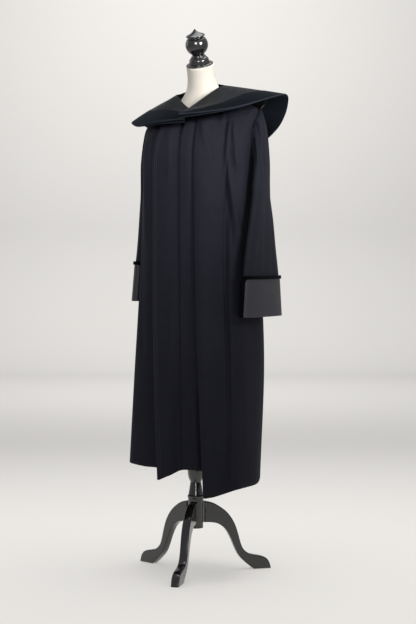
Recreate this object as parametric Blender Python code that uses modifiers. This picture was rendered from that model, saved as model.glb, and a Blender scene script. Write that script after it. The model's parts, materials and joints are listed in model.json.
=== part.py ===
"""A long black legal robe shown on a limbless dress form with a turned tripod stand.

Metres, +Z up. The robe faces -Y, the wearer's left is +X, and the floor is z = 0.
All tables are in centimetres, measured from the pole's axis at floor level. At the end the
whole object is moved sideways, so that the origin lies under the middle of its box.
"""
import math

import bpy
from mathutils import Matrix, Vector

CM = 0.01

# Driving sizes, in centimetres.
CLOTH = 0.20            # wall of the wool cloth
SILK = 0.20             # wall of the collar's silk part
VELVET = 0.36           # wall of the velvet parts, pile included
SEAM_GAP = 0.03         # clear space between pieces that are sewn together
SIDE_GAP = 0.07         # the same down the side seams, where the cloth bends
LAY_GAP = 0.05          # clear space between layers that lie on each other
RIDGE_GAP = 0.10        # the same along the shoulder, where the walls' inner corners meet
FRONT_OF_SEAM = Vector((0, -RIDGE_GAP / 2, 0))
CUFF_DEPTH = 11.8
NECK_TILT = math.radians(22.5)
FRONT_LEG_AZIMUTH = math.radians(7.0)
LEG_THICKNESS = 2.4

MATERIALS = {
    # name: (red, green, blue), roughness, metallic
    "wool": ((0.020, 0.021, 0.028), 0.85, 0.0),
    "silk": ((0.045, 0.045, 0.050), 0.45, 0.0),
    "velvet": ((0.006, 0.008, 0.012), 0.95, 0.0),
    "form_cloth": ((0.78, 0.74, 0.66), 0.80, 0.0),
    "black_lacquer": ((0.012, 0.012, 0.013), 0.22, 0.0),
}

# The body of the robe, as lines that run down the cloth, from the under-lap of the right front,
# round the right side, the back and the left side, to the lapped edge of the left front.
# hem: x, y, z of the line's lower end. knee, hip and chest: x, y at those heights.
# top: x, y, z at the upper seam, which is the neckline, the shoulder or the armhole.
# A pleat is a line at its outer edge next to a line at its inner fold, which lies behind it.
BODY_LINES = (
    # name, hem, knee, hip, chest, top
    ("underlap_end", (3.0, -11.1, 31.4), (3.0, -11.6), (2.9, -11.9), (2.6, -11.7), (2.2, -4.0, 134.8)),
    ("centre_under", (0.0, -11.7, 31.2), (0.0, -12.1), (0.0, -12.3), (0.0, -12.1), (-0.3, -5.5, 133.6)),
    ("right_panel", (-3.3, -13.3, 29.6), (-4.0, -13.1), (-4.4, -12.8), (-4.4, -12.5), (-3.0, -3.4, 136.0)),
    ("right_pleat_edge", (-6.5, -13.6, 28.4), (-7.9, -12.7), (-8.5, -12.1), (-8.7, -11.7), (-5.0, -0.6, 138.0)),
    ("right_pleat_fold", (-7.4, -8.6, 30.8), (-7.4, -9.4), (-7.4, -10.0), (-7.7, -10.2), (-6.1, 1.4, 139.0)),
    ("right_neck_front", (-12.9, -8.2, 31.3), (-12.0, -8.8), (-11.0, -9.4), (-10.8, -9.4), (-7.4, 5.6, 139.8)),
    ("right_front_side", (-17.4, -6.6, 31.7), (-15.8, -7.0), (-14.4, -7.2), (-13.9, -6.6), (-12.4, 6.9, 137.1)),
    ("right_tip_front", (-19.5, -3.8, 31.8), (-17.4, -4.6), (-15.4, -4.8), (-15.2, -3.2), (-17.0, 8.4, 134.4)),
    ("right_cap_front", (-19.9, 0.2, 31.7), (-17.3, -0.6), (-15.4, -0.6), (-15.8, 0.6), (-16.6, 4.4, 129.6)),
    ("right_arm_front", (-19.8, 3.8, 31.6), (-17.1, 3.6), (-15.6, 3.8), (-16.0, 4.2), (-16.5, 2.6, 122.6)),
    ("right_side", (-19.2, 7.4, 31.4), (-16.9, 7.4), (-15.8, 7.4), (-16.2, 7.8), (-16.7, 8.0, 113.5)),
    ("right_arm_back", (-18.4, 10.8, 30.8), (-16.8, 10.8), (-15.8, 10.8), (-15.9, 11.2), (-16.5, 12.6, 122.4)),
    ("right_cap_back", (-17.3, 13.2, 30.5), (-16.0, 13.2), (-15.0, 13.2), (-14.9, 13.4), (-16.7, 11.4, 129.8)),
    ("right_tip_back", (-15.6, 14.9, 30.2), (-14.6, 14.7), (-13.8, 14.5), (-13.2, 14.7), (-17.0, 8.4, 134.4)),
    ("right_back_dip_1", (-12.8, 15.0, 29.8), (-11.8, 14.6), (-11.1, 14.2), (-10.8, 14.8), (-12.6, 7.0, 137.0)),
    ("right_neck_back", (-10.0, 18.8, 29.4), (-9.3, 18.0), (-8.6, 17.0), (-8.4, 16.4), (-7.4, 5.6, 139.8)),
    ("right_back_dip_2", (-6.4, 16.4, 29.3), (-6.0, 15.8), (-5.7, 15.3), (-5.7, 15.7), (-5.6, 9.6, 141.0)),
    ("right_back_fold_2", (-3.4, 20.4, 29.2), (-3.2, 19.4), (-3.0, 18.2), (-3.0, 17.0), (-3.4, 11.4, 142.2)),
    ("back_middle_dip", (0.0, 17.4, 29.2), (0.0, 16.6), (0.0, 16.0), (0.0, 16.2), (0.0, 12.2, 142.8)),
    ("left_back_fold_2", (3.7, 20.6, 29.0), (3.4, 19.6), (3.1, 18.4), (3.0, 17.0), (3.4, 11.4, 142.4)),
    ("left_back_dip_2", (6.4, 16.4, 28.9), (6.2, 15.8), (5.9, 15.3), (5.7, 15.7), (5.8, 9.2, 141.6)),
    ("left_neck_back", (9.6, 18.0, 28.8), (9.4, 17.6), (8.8, 16.8), (8.6, 16.2), (7.6, 4.8, 140.8)),
    ("left_back_dip_1", (12.0, 14.4, 28.7), (11.8, 14.4), (11.2, 14.0), (11.0, 14.2), (12.8, 5.1, 138.4)),
    ("left_tip_back", (14.3, 12.8, 28.7), (14.8, 13.6), (14.2, 13.4), (13.6, 13.2), (17.4, 5.4, 136.0)),
    ("left_cap_back", (16.0, 10.2, 28.7), (17.0, 11.2), (16.4, 11.0), (15.6, 11.2), (17.2, 8.6, 131.0)),
    ("left_arm_back", (17.4, 7.2, 28.4), (18.3, 8.2), (17.4, 7.8), (16.7, 8.2), (17.2, 9.8, 121.6)),
    ("left_side", (18.5, 4.0, 27.9), (18.9, 4.8), (17.6, 4.4), (17.2, 4.6), (17.4, 4.8, 114.0)),
    ("left_arm_front", (19.1, 0.8, 27.1), (18.8, 0.8), (17.2, -0.4), (17.2, -0.8), (17.1, 0.6, 123.8)),
    ("left_cap_front", (19.1, -2.4, 26.8), (18.1, -4.0), (16.7, -5.2), (17.7, -5.6), (17.1, 2.2, 130.8)),
    ("left_tip_front", (18.4, -6.4, 26.7), (17.2, -7.4), (16.0, -7.6), (16.7, -7.7), (17.4, 5.4, 136.0)),
    ("left_front_side", (16.8, -10.8, 26.4), (15.4, -10.0), (14.4, -9.2), (14.9, -8.6), (12.8, 5.1, 138.4)),
    ("left_trough", (13.7, -11.8, 25.3), (12.9, -9.7), (12.0, -9.0), (12.3, -8.7), (7.6, 4.8, 140.8)),
    ("left_panel", (10.8, -15.6, 24.5), (9.4, -14.1), (8.5, -13.2), (8.0, -12.2), (5.8, 0.2, 139.2)),
    ("left_pleat_edge", (8.6, -15.5, 24.8), (6.4, -14.2), (5.2, -13.5), (4.6, -12.8), (3.8, -2.4, 137.3)),
    ("left_pleat_fold", (10.4, -9.4, 30.2), (8.2, -10.4), (6.6, -10.9), (5.4, -11.4), (2.9, -3.9, 136.2)),
    ("lap_strip", (5.0, -11.6, 31.4), (4.2, -12.2), (3.4, -12.5), (2.8, -12.6), (1.5, -5.5, 135.0)),
    ("lap_edge", (0.7, -12.3, 31.6), (0.5, -12.7), (0.4, -12.9), (0.2, -12.7), (0.2, -6.4, 134.3)),
)
BODY_PIECES = (
    # node, first line, last line
    ("front_right", "underlap_end", "right_side"),
    ("back", "right_side", "left_side"),
    ("front_left", "left_side", "lap_edge"),
)
LINE_STEPS = 3          # columns between two lines
SKIRT_ROWS = 2          # rows in each stretch between hem, knee, hip and chest
YOKE_ROWS = 5           # rows from the chest to the seam at the top
KNEE_HEIGHT = 60.0
HIP_HEIGHT = 88.0
CHEST_HEIGHT = 118.0
CHEST_DROP = 7.0        # the chest row is at least this far below the line's upper end
CHEST_HANDLE = 0.55     # how far the cloth hangs straight above the chest, as a share of the rise
TOP_HANDLE = (0.35, 0.55, 0.22)     # how the cloth leaves its upper seam, the same in x, y and z

# The collar, round the neck from its left front end to its right front end: the inner edge at
# the neckline, the outer edge, how far the middle stands above the straight line, and how much
# of the width is velvet.
COLLAR_LINES = (
    # name, inner edge, outer edge, rise, width of the velvet
    ("left_end", (0.15, -7.0, 135.2), (0.1, -13.6, 133.2), 0.2, 2.8),
    ("left_front_1", (2.6, -4.3, 137.7), (6.0, -13.0, 133.6), 0.4, 3.2),
    ("left_front_2", (4.9, -1.3, 140.2), (11.8, -11.2, 134.3), 0.5, 3.8),
    ("left_front_3", (6.6, 1.4, 142.1), (17.0, -8.0, 135.5), 0.5, 5.4),
    ("left_side_1", (7.0, 4.2, 142.8), (21.5, -2.4, 137.6), 0.4, 6.3),
    ("left_side_2", (6.6, 6.8, 143.3), (24.1, 4.0, 139.4), 0.2, 6.3),
    ("left_top", (5.6, 8.8, 143.6), (24.4, 10.5, 140.3), 0.1, 6.3),
    ("left_back_1", (4.4, 10.2, 143.9), (23.6, 14.6, 139.0), 0.5, 6.3),
    ("left_back_2", (3.2, 11.2, 144.2), (21.2, 18.7, 135.2), 1.4, 6.3),
    ("left_back_3", (1.8, 11.9, 144.4), (17.3, 21.8, 131.0), 2.6, 6.3),
    ("back_left", (0.8, 12.3, 144.5), (11.0, 23.2, 127.0), 3.4, 6.3),
    ("back_middle", (0.0, 12.4, 144.5), (0.0, 23.6, 125.6), 3.8, 6.3),
    ("back_right", (-0.8, 12.3, 144.4), (-10.5, 22.8, 126.6), 3.4, 6.3),
    ("right_back_3", (-1.8, 11.9, 144.2), (-16.4, 20.6, 128.6), 2.8, 6.3),
    ("right_back_2", (-3.2, 11.2, 143.8), (-20.0, 16.6, 131.0), 1.9, 6.3),
    ("right_back_1", (-4.4, 10.2, 143.2), (-21.8, 12.0, 132.8), 1.3, 6.3),
    ("right_top", (-5.6, 8.8, 142.4), (-22.3, 7.8, 133.4), 0.8, 6.3),
    ("right_side_2", (-6.6, 6.8, 141.6), (-22.0, 3.6, 133.2), 0.6, 6.3),
    ("right_side_1", (-7.0, 4.2, 140.9), (-20.0, -0.8, 132.2), 0.5, 6.3),
    ("right_front_3", (-6.6, 1.4, 140.5), (-16.4, -5.4, 131.2), 0.5, 6.3),
    ("right_front_2", (-4.9, -1.3, 139.5), (-11.8, -9.2, 131.2), 0.5, 6.0),
    ("right_front_1", (-2.6, -4.1, 137.6), (-6.0, -11.9, 131.6), 0.4, 5.0),
    ("right_end", (0.9, -6.0, 135.0), (1.7, -12.8, 132.0), 0.2, 3.6),
)
COLLAR_STEPS = 2        # columns between two lines of the collar
COLLAR_SILK_ROWS = 3
COLLAR_VELVET_ROWS = 2

# The shoulder seams: the lines of the front and of the back whose tops lie on the seam.
SHOULDER_SEAMS = {
    "left": ("left_tip_front", "left_trough", "left_neck_back", "left_tip_back"),
    "right": ("right_neck_front", "right_tip_front", "right_tip_back", "right_neck_back"),
}

# A sleeve hangs as a flattened tube. Each row is one section: its height, its centre, its half
# length from front to back, its half thickness, and how far its front end turns inwards.
SLEEVE_SECTIONS = {
    "left": (
        # height, x, y, half length, half thickness, turn
        (110.0, 19.6, 2.2, 8.7, 1.8, -8.0),
        (103.0, 20.0, 1.3, 9.5, 1.8, -2.5),
        (95.0, 20.1, 0.6, 10.3, 1.8, 2.0),
        (86.5, 20.4, -0.2, 11.0, 1.9, 5.5),
        (75.3, 20.7, -1.2, 11.3, 2.2, 8.0),
    ),
    "right": (
        (110.0, 18.9, 7.8, 8.4, 1.5, 15.0),
        (103.0, 19.2, 7.6, 9.2, 1.5, 16.0),
        (95.0, 19.6, 7.5, 10.2, 1.5, 15.5),
        (87.5, 20.1, 7.4, 10.9, 1.7, 15.0),
        (79.4, 20.6, 7.2, 11.1, 1.8, 15.0),
    ),
}
SLEEVE_COLUMNS = 20
SLEEVE_HEAD_ROWS = 5    # rows between the armhole and the first section
SLEEVE_SPAN_ROWS = 2    # rows between two sections
SLEEVE_CLEAR = 0.6      # how far outside the armhole the sleeve starts under the arm
SLEEVE_CLEAR_EASE = 0.25    # how much less that is at the shoulder
HEAD_OUT = (0.3, 1.6)   # how far the sleeve's head stands out: under the arm, and more on top
HEAD_RISE = 0.4         # how far the head goes up from the shoulder
HEAD_SAG = 1.2          # how far it goes down under the arm
HEAD_HANDLE = 0.5       # how soon the head turns down, as a share of its height
SLEEVE_ROUNDNESS = 0.8  # under 1, a section is fuller than an ellipse
ARMHOLE_STEPS = 6       # parts of a span in the armhole's outline
UNDERARM_HEIGHT = 114.0
SHOULDER_HEIGHT = 136.0
ARMHOLE_LINES = {
    "left": ("left_tip_back", "left_tip_front"),
    "right": ("right_tip_front", "right_tip_back"),
}
CUFF_ROWS = 3
CUFF_EASE = 0.42        # how far the turned-back cuff stands off the sleeve
EDGING_TOP = 1.0        # width of the velvet along the cuff's top
EDGING_FRONT = 1.8      # width of the velvet down the cuff's front
EDGING_SHIFT = {"left": 0, "right": 1}  # columns from the front to that velvet

# The dress form: height, half width, half depth, centre y, forward tilt in degrees.
FORM_RINGS = (
    (72.0, 13.4, 9.6, 3.4, 0.0),
    (73.2, 14.6, 10.8, 3.4, 0.0),
    (80.0, 14.8, 11.2, 3.6, 0.0),
    (90.0, 13.8, 9.9, 3.2, 0.0),
    (100.0, 12.0, 8.6, 2.6, 0.0),
    (109.0, 13.4, 9.8, 2.4, 0.0),
    (118.0, 15.2, 10.8, 2.8, 0.0),
    (125.0, 15.6, 9.6, 4.2, 0.0),
    (129.5, 15.6, 7.6, 5.4, 0.0),
    (132.4, 14.4, 5.8, 6.0, 0.0),
    (134.6, 11.8, 5.2, 6.0, 0.0),
    (137.2, 8.4, 5.0, 5.8, 3.0),
    (140.4, 6.0, 4.9, 5.7, 8.0),
    (143.0, 4.7, 4.7, 5.4, 15.0),
    (146.2, 4.1, 4.1, 4.3, 20.0),
    (149.3, 4.0, 4.0, 3.1, 22.5),
)
FORM_COLUMNS = 24
FORM_SHOULDER_POWER = 2.5   # over 2, the torso's sections are fuller than an ellipse

# Turned pieces: radius and distance along the axis, down the outer side.
NECK_CAP_PROFILE = ((0.0, 0.55), (3.3, 0.55), (3.9, 0.42), (4.05, 0.20), (4.0, 0.0), (0.0, 0.0))
FINIAL_PROFILE = (
    (0.0, 11.3), (0.5, 10.75), (1.5, 9.95), (2.3, 9.55), (2.75, 9.25), (2.72, 9.0), (2.25, 8.85),
    (2.3, 8.65), (2.75, 8.3), (3.2, 7.45), (3.36, 6.5), (3.2, 5.5), (2.7, 4.55), (2.0, 3.8),
    (1.75, 3.45), (1.8, 3.25), (2.35, 2.9), (2.85, 2.2), (3.0, 1.4), (3.05, 1.0), (0.0, 1.0),
)
FINIAL_GAP = 0.42       # the finial's foot stands this far below its profile's zero
POLE_PROFILE = (
    (0.0, 71.9), (1.5, 71.9), (1.5, 45.0), (1.9, 44.2), (1.9, 43.2), (1.5, 42.4), (1.6, 38.0),
    (2.1, 34.5), (2.5, 31.6), (2.45, 29.6), (2.2, 27.8), (1.75, 26.7), (1.62, 26.3),
    (1.75, 25.4), (2.02, 23.6), (2.2, 22.65), (0.0, 22.65),
)
HUB_PROFILE = (
    (0.0, 22.6), (2.2, 22.6), (2.45, 22.3), (2.45, 21.9), (2.3, 21.6), (2.3, 21.3), (2.3, 14.4),
    (2.2, 14.2), (2.2, 13.1), (2.0, 12.9), (0.0, 12.9),
)
TURNED_STEPS = 16
TURNED_MERGE = 0.005    # points closer than this on the axis become one

# The flat-sawn leg's outline: distance from the axis and height, from the hub along the top
# edge to the toe, then along the sole and the under edge back to the hub.
LEG_TOP_EDGE = (
    (2.45, 20.8), (5.3, 20.0), (8.2, 18.2), (10.1, 16.3), (11.6, 13.9), (12.6, 11.2), (13.4, 8.3),
    (14.3, 6.2), (15.9, 4.8), (17.9, 4.2), (19.8, 3.8), (21.4, 3.1), (22.4, 1.8), (22.9, 0.0),
)
LEG_UNDER_EDGE = (
    (17.6, 0.0), (15.3, 1.8), (13.1, 4.0), (11.8, 6.4), (10.6, 9.2), (9.3, 11.6), (8.0, 13.0),
    (6.3, 14.0), (4.4, 14.4), (2.45, 14.5),
)
LEG_NODES = ("leg_front", "leg_left", "leg_right")
LEG_BEVEL = 0.25
LEG_MERGE = 0.002       # points closer than this become one before the bevel
BEVEL_FROM = math.radians(60)   # edges sharper than this are taken off


def make_material(name):
    colour, roughness, metallic = MATERIALS[name]
    material = bpy.data.materials.new(name)
    material.use_nodes = True
    shader = material.node_tree.nodes["Principled BSDF"]
    shader.inputs["Base Color"].default_value = (*colour, 1.0)
    shader.inputs["Roughness"].default_value = roughness
    shader.inputs["Metallic"].default_value = metallic
    material.diffuse_color = (*colour, 1.0)
    return material


def add_object(name, data, material):
    """Put new data in the scene as the object called name, with its own material."""
    obj = bpy.data.objects.new(name, data)
    own = make_material(material)
    own.name = name + "_" + material
    data.materials.append(own)
    bpy.data.collections["legal_robe"].objects.link(obj)
    return obj


def add_sheet(name, rows, thickness, material, closed=False, keep=None):
    """A cloth wall across rows of points (in cm): an open grid surface, thickened.

    closed joins the last column to the first. keep(row, column) says which cells are made.
    """
    columns = len(rows[0])
    points = [Vector(p) * CM for row in rows for p in row]
    faces = []
    for j in range(len(rows) - 1):
        for i in range(columns if closed else columns - 1):
            if keep is None or keep(j, i):
                k = (i + 1) % columns
                faces.append((j * columns + i, j * columns + k,
                              (j + 1) * columns + k, (j + 1) * columns + i))
    used = sorted({index for face in faces for index in face})
    place = {index: order for order, index in enumerate(used)}
    mesh = bpy.data.meshes.new(name)
    mesh.from_pydata([points[index] for index in used], [],
                     [tuple(place[index] for index in face) for face in faces])
    mesh.shade_smooth()
    obj = add_object(name, mesh, material)
    wall = obj.modifiers.new("wall", "SOLIDIFY")
    wall.thickness = thickness * CM
    wall.offset = 0.0
    wall.use_rim = True


def catmull_rom(a, b, c, d, t):
    """A smooth curve from b to c, with a and d as the points before and after."""
    return 0.5 * (2 * b + (c - a) * t + (2 * a - 5 * b + 4 * c - d) * t ** 2
                  + (3 * b - a - 3 * c + d) * t ** 3)


def smooth_through(points, steps):
    """The points of a smooth open curve through points, with steps parts a span."""
    points = [Vector(p) for p in points]
    padded = [2 * points[0] - points[1]] + points + [2 * points[-1] - points[-2]]
    curve = []
    for k in range(len(points) - 1):
        curve += [catmull_rom(*padded[k:k + 4], s / steps) for s in range(steps)]
    return curve + [points[-1]]


def body_column_points(hem, knee, hip, chest, top, on_shoulder):
    """The points of one column of the body, from the hem up to the seam.

    A column that ends on the shoulder seam is level there, so that front and back join flush.
    """
    chest_height = min(CHEST_HEIGHT, top[2] - CHEST_DROP)
    start = Vector((chest[0], chest[1], chest_height))
    end = Vector(top)
    hanging = (hem, (knee[0], knee[1], KNEE_HEIGHT), (hip[0], hip[1], HIP_HEIGHT), start)
    points = smooth_through(hanging, SKIRT_ROWS)[:-1]
    rise = end - start
    lower = start + Vector((0, 0, CHEST_HANDLE * rise.z))
    back_x, back_y, back_z = TOP_HANDLE
    upper = end - Vector((back_x * rise.x, back_y * rise.y, 0 if on_shoulder else back_z * rise.z))
    for row in range(YOKE_ROWS + 1):
        t = row / YOKE_ROWS
        points.append(start * (1 - t) ** 3 + lower * 3 * t * (1 - t) ** 2
                      + upper * 3 * t * t * (1 - t) + end * t ** 3)
    return points


def line_column(name):
    return [line[0] for line in BODY_LINES].index(name) * LINE_STEPS


def put_tops_on_seam(tops, lines, neck, tip):
    """Move the tops of the columns between two lines onto the straight shoulder seam."""
    first, last = sorted(line_column(name) for name in lines)
    for column in range(first, last + 1):
        share = (tops[column].x - neck.x) / (tip.x - neck.x)
        tops[column] = neck.lerp(tip, min(1.0, max(0.0, share)))
    return set(range(first, last + 1))


def body_rows():
    """Rows of the whole body, each from the under-lap round to the lapped edge."""
    levels = []
    for level in range(1, 6):
        padded = [line[level] if len(line[level]) == 3 else (*line[level], 0.0)
                  for line in BODY_LINES]
        levels.append(smooth_through(padded, LINE_STEPS))
    tops = levels[-1]
    on_seam = set()
    for side, sign in (("left", 1), ("right", -1)):
        names = SHOULDER_SEAMS[side]
        neck, tip = (tops[line_column(name)].copy() for name in sorted(
            names[:2], key=lambda name: sign * tops[line_column(name)].x))
        for pair, shift in ((names[:2], FRONT_OF_SEAM), (names[2:], -FRONT_OF_SEAM)):
            on_seam |= put_tops_on_seam(tops, pair, neck + shift, tip + shift)
    columns = [body_column_points(*values, column in on_seam)
               for column, values in enumerate(zip(*levels))]
    return [list(row) for row in zip(*columns)]


def trimmed(row, first, last, start_gap, end_gap):
    """The columns first to last of a row, with half a seam's gap taken off the sewn ends."""
    part = [p.copy() for p in row[first:last + 1]]
    if start_gap:
        part[0] += (part[1] - part[0]).normalized() * start_gap
    if end_gap:
        part[-1] += (part[-2] - part[-1]).normalized() * end_gap
    return part


def make_body():
    rows = body_rows()
    for node, first, last in BODY_PIECES:
        start = 0.0 if first == "underlap_end" else SIDE_GAP / 2
        end = 0.0 if last == "lap_edge" else SIDE_GAP / 2
        part = [trimmed(row, line_column(first), line_column(last), start, end) for row in rows]
        add_sheet(node, part, CLOTH, "wool")


def armhole_loop(side):
    """The armhole's edge, the same number of points as a sleeve's section.

    The loop starts at the shoulder, goes down the front of the armhole and up its back.
    """
    top_row = body_rows()[-1]
    first, last = (line_column(name) for name in ARMHOLE_LINES[side])
    edge = top_row[first:last + 1]
    if side == "left":
        edge = edge[::-1]
    outline = smooth_through(edge, ARMHOLE_STEPS)
    lengths = [0.0]
    for a, b in zip(outline, outline[1:]):
        lengths.append(lengths[-1] + (b - a).length)
    loop = []
    for k in range(SLEEVE_COLUMNS):
        target = lengths[-1] * (k + 0.5) / SLEEVE_COLUMNS
        index = max(i for i, length in enumerate(lengths[:-1]) if length <= target)
        share = (target - lengths[index]) / (lengths[index + 1] - lengths[index])
        loop.append(outline[index].lerp(outline[index + 1], share))
    return loop


def sleeve_section(side, height, x, y, half_length, half_thickness, turn):
    """One flattened section of a sleeve. It starts outside, goes round by the front."""
    sign = 1 if side == "left" else -1
    angle = math.radians(turn)
    front = Vector((-sign * math.sin(angle), -math.cos(angle), 0))
    outward = Vector((sign * math.cos(angle), -math.sin(angle), 0))
    section = []
    for k in range(SLEEVE_COLUMNS):
        round_angle = 2 * math.pi * (k + 0.5) / SLEEVE_COLUMNS
        along = math.sin(round_angle)
        across = math.cos(round_angle)
        across = math.copysign(abs(across) ** SLEEVE_ROUNDNESS, across)
        section.append(Vector((sign * x, y, height)) + front * half_length * along
                       + outward * half_thickness * across)
    return section


def sleeve_sections(side):
    """Sections of the hanging part of a sleeve, interpolated from the table."""
    table = SLEEVE_SECTIONS[side]
    sections = []
    for upper, lower in zip(table, table[1:]):
        for step in range(SLEEVE_SPAN_ROWS):
            t = step / SLEEVE_SPAN_ROWS
            values = [a + (b - a) * t for a, b in zip(upper, lower)]
            sections.append(sleeve_section(side, *values))
    sections.append(sleeve_section(side, *table[-1]))
    return sections


def make_sleeve(side):
    """A sleeve, from the armhole over its head and down to its end inside the cuff."""
    sign = 1 if side == "left" else -1
    sections = sleeve_sections(side)
    rows = [[] for _ in range(SLEEVE_HEAD_ROWS + 1)]
    for point, below in zip(armhole_loop(side), sections[0]):
        high = (point.z - UNDERARM_HEIGHT) / (SHOULDER_HEIGHT - UNDERARM_HEIGHT)
        start = point + Vector((sign * (SLEEVE_CLEAR - SLEEVE_CLEAR_EASE * high), 0, 0))
        out = start + Vector((sign * (HEAD_OUT[0] + HEAD_OUT[1] * high), 0,
                              HEAD_RISE * high - HEAD_SAG * (1 - high) ** 2))
        over = below + Vector((0, 0, HEAD_HANDLE * (start.z - below.z)))
        for row in range(SLEEVE_HEAD_ROWS + 1):
            t = row / (SLEEVE_HEAD_ROWS + 1)
            rows[row].append(start * (1 - t) ** 3 + out * 3 * t * (1 - t) ** 2
                             + over * 3 * t * t * (1 - t) + below * t ** 3)
    rows += sections
    if side == "right":
        rows = [row[::-1] for row in rows]
    add_sheet("sleeve_" + side, rows, CLOTH, "wool", closed=True)


def cuff_rows(side):
    """Rows of the turned-back cuff, from its foot up: the sleeve's end, moved out."""
    bottom = SLEEVE_SECTIONS[side][-1]
    above = SLEEVE_SECTIONS[side][-2]
    rows = []
    for row in range(CUFF_ROWS + 1):
        up = CUFF_DEPTH * row / CUFF_ROWS
        t = up / (above[0] - bottom[0])
        height, x, y, length, thickness, turn = (a + (b - a) * t for a, b in zip(bottom, above))
        rows.append(sleeve_section(side, bottom[0] + up, x, y, length + CUFF_EASE,
                                   thickness + CUFF_EASE, turn))
    if side == "left":
        return [row[::-1] for row in rows]
    return rows


def moved_out(rows, distance):
    """Closed rows moved away from the middle of each row, level with themselves."""
    moved = []
    for row in rows:
        count = len(row)
        ring = []
        for i, point in enumerate(row):
            along = row[(i + 1) % count] - row[i - 1]
            normal = Vector((along.y, -along.x, 0)).normalized()
            ring.append(point + normal * distance)
        moved.append(ring)
    return moved


def make_cuff(side):
    """The silk cuff and the velvet that edges its top and its front."""
    rows = cuff_rows(side)
    add_sheet("cuff_" + side, rows, SILK, "silk", closed=True)
    outward = moved_out(rows, SILK / 2 + LAY_GAP + VELVET / 2)
    below = [a.lerp(b, 1 - EDGING_TOP / (CUFF_DEPTH / CUFF_ROWS))
             for a, b in zip(outward[-2], outward[-1])]
    strip = outward[:-1] + [below, outward[-1]]
    front = [i for i, p in enumerate(strip[0]) if p.y < min(q.y for q in strip[0]) + EDGING_FRONT]
    first, last = (i + EDGING_SHIFT[side] for i in (front[0], front[-1]))
    last_row = len(strip) - 2

    def edging_cell(row, column):
        return row == last_row or first <= column < last

    add_sheet("cuff_edging_" + side, strip, VELVET, "velvet", closed=True, keep=edging_cell)


def collar_columns():
    """Columns of the collar from the neckline to the outer edge, smoothed round the neck."""
    inner = smooth_through([line[1] for line in COLLAR_LINES], COLLAR_STEPS)
    outer = smooth_through([line[2] for line in COLLAR_LINES], COLLAR_STEPS)
    rises = smooth_through([(line[3], line[4], 0) for line in COLLAR_LINES], COLLAR_STEPS)
    return [(a, b, r.x, r.y) for a, b, r in zip(inner, outer, rises)]


def collar_point(column, t):
    a, b, rise, _ = column
    return a.lerp(b, t) + Vector((0, 0, rise * 4 * t * (1 - t)))


def make_collar():
    """The silk inner part and the velvet outer band, one surface with a seam's gap."""
    columns = collar_columns()
    silk = []
    velvet = []
    for column in columns:
        width = (column[1] - column[0]).length
        seam = 1 - column[3] / width
        gap = SEAM_GAP / 2 / width
        silk.append([collar_point(column, (seam - gap) * k / COLLAR_SILK_ROWS)
                     for k in range(COLLAR_SILK_ROWS + 1)])
        start = seam + gap
        velvet.append([collar_point(column, start + (1 - start) * k / COLLAR_VELVET_ROWS)
                       for k in range(COLLAR_VELVET_ROWS + 1)])
    add_sheet("collar_silk", silk, SILK, "silk")
    add_sheet("collar_velvet", velvet, VELVET, "velvet")


def form_ring(height, half_width, half_depth, centre_y, tilt):
    """One level section of the dress form, tilted forward about its middle."""
    power = 2 + (FORM_SHOULDER_POWER - 2) * min(1.0, max(0.0, (half_width - 6) / 6))
    lean = Matrix.Rotation(math.radians(tilt), 3, "X")
    ring = []
    for k in range(FORM_COLUMNS):
        angle = 2 * math.pi * k / FORM_COLUMNS
        x = math.copysign(abs(math.cos(angle)) ** (2 / power), math.cos(angle)) * half_width
        y = math.copysign(abs(math.sin(angle)) ** (2 / power), math.sin(angle)) * half_depth
        ring.append(lean @ Vector((x, y, 0)) + Vector((0, centre_y, height)))
    return ring


def make_form():
    """The limbless torso and neck, closed at the hips and at the top of the neck."""
    rings = [form_ring(*ring) for ring in FORM_RINGS]
    points = [p * CM for ring in rings for p in ring]
    faces = []
    for j in range(len(rings) - 1):
        for i in range(FORM_COLUMNS):
            k = (i + 1) % FORM_COLUMNS
            faces.append((j * FORM_COLUMNS + i, j * FORM_COLUMNS + k,
                          (j + 1) * FORM_COLUMNS + k, (j + 1) * FORM_COLUMNS + i))
    faces.append(tuple(reversed(range(FORM_COLUMNS))))
    faces.append(tuple(range((len(rings) - 1) * FORM_COLUMNS, len(rings) * FORM_COLUMNS)))
    mesh = bpy.data.meshes.new("dress_form")
    mesh.from_pydata(points, [], faces)
    mesh.shade_smooth()
    add_object("dress_form", mesh, "form_cloth")


def make_turned(name, profile, place=Vector(), tilt=0.0):
    """A turned piece: its profile, down the outer side, with a Screw modifier."""
    mesh = bpy.data.meshes.new(name)
    mesh.from_pydata([(r * CM, 0, h * CM) for r, h in profile],
                     [(i, i + 1) for i in range(len(profile) - 1)], [])
    obj = add_object(name, mesh, "black_lacquer")
    obj.location = place * CM
    obj.rotation_euler = (tilt, 0, 0)
    screw = obj.modifiers.new("turn", "SCREW")
    screw.steps = screw.render_steps = TURNED_STEPS
    screw.use_merge_vertices = True
    screw.merge_threshold = TURNED_MERGE * CM
    screw.use_smooth_shade = True


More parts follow.
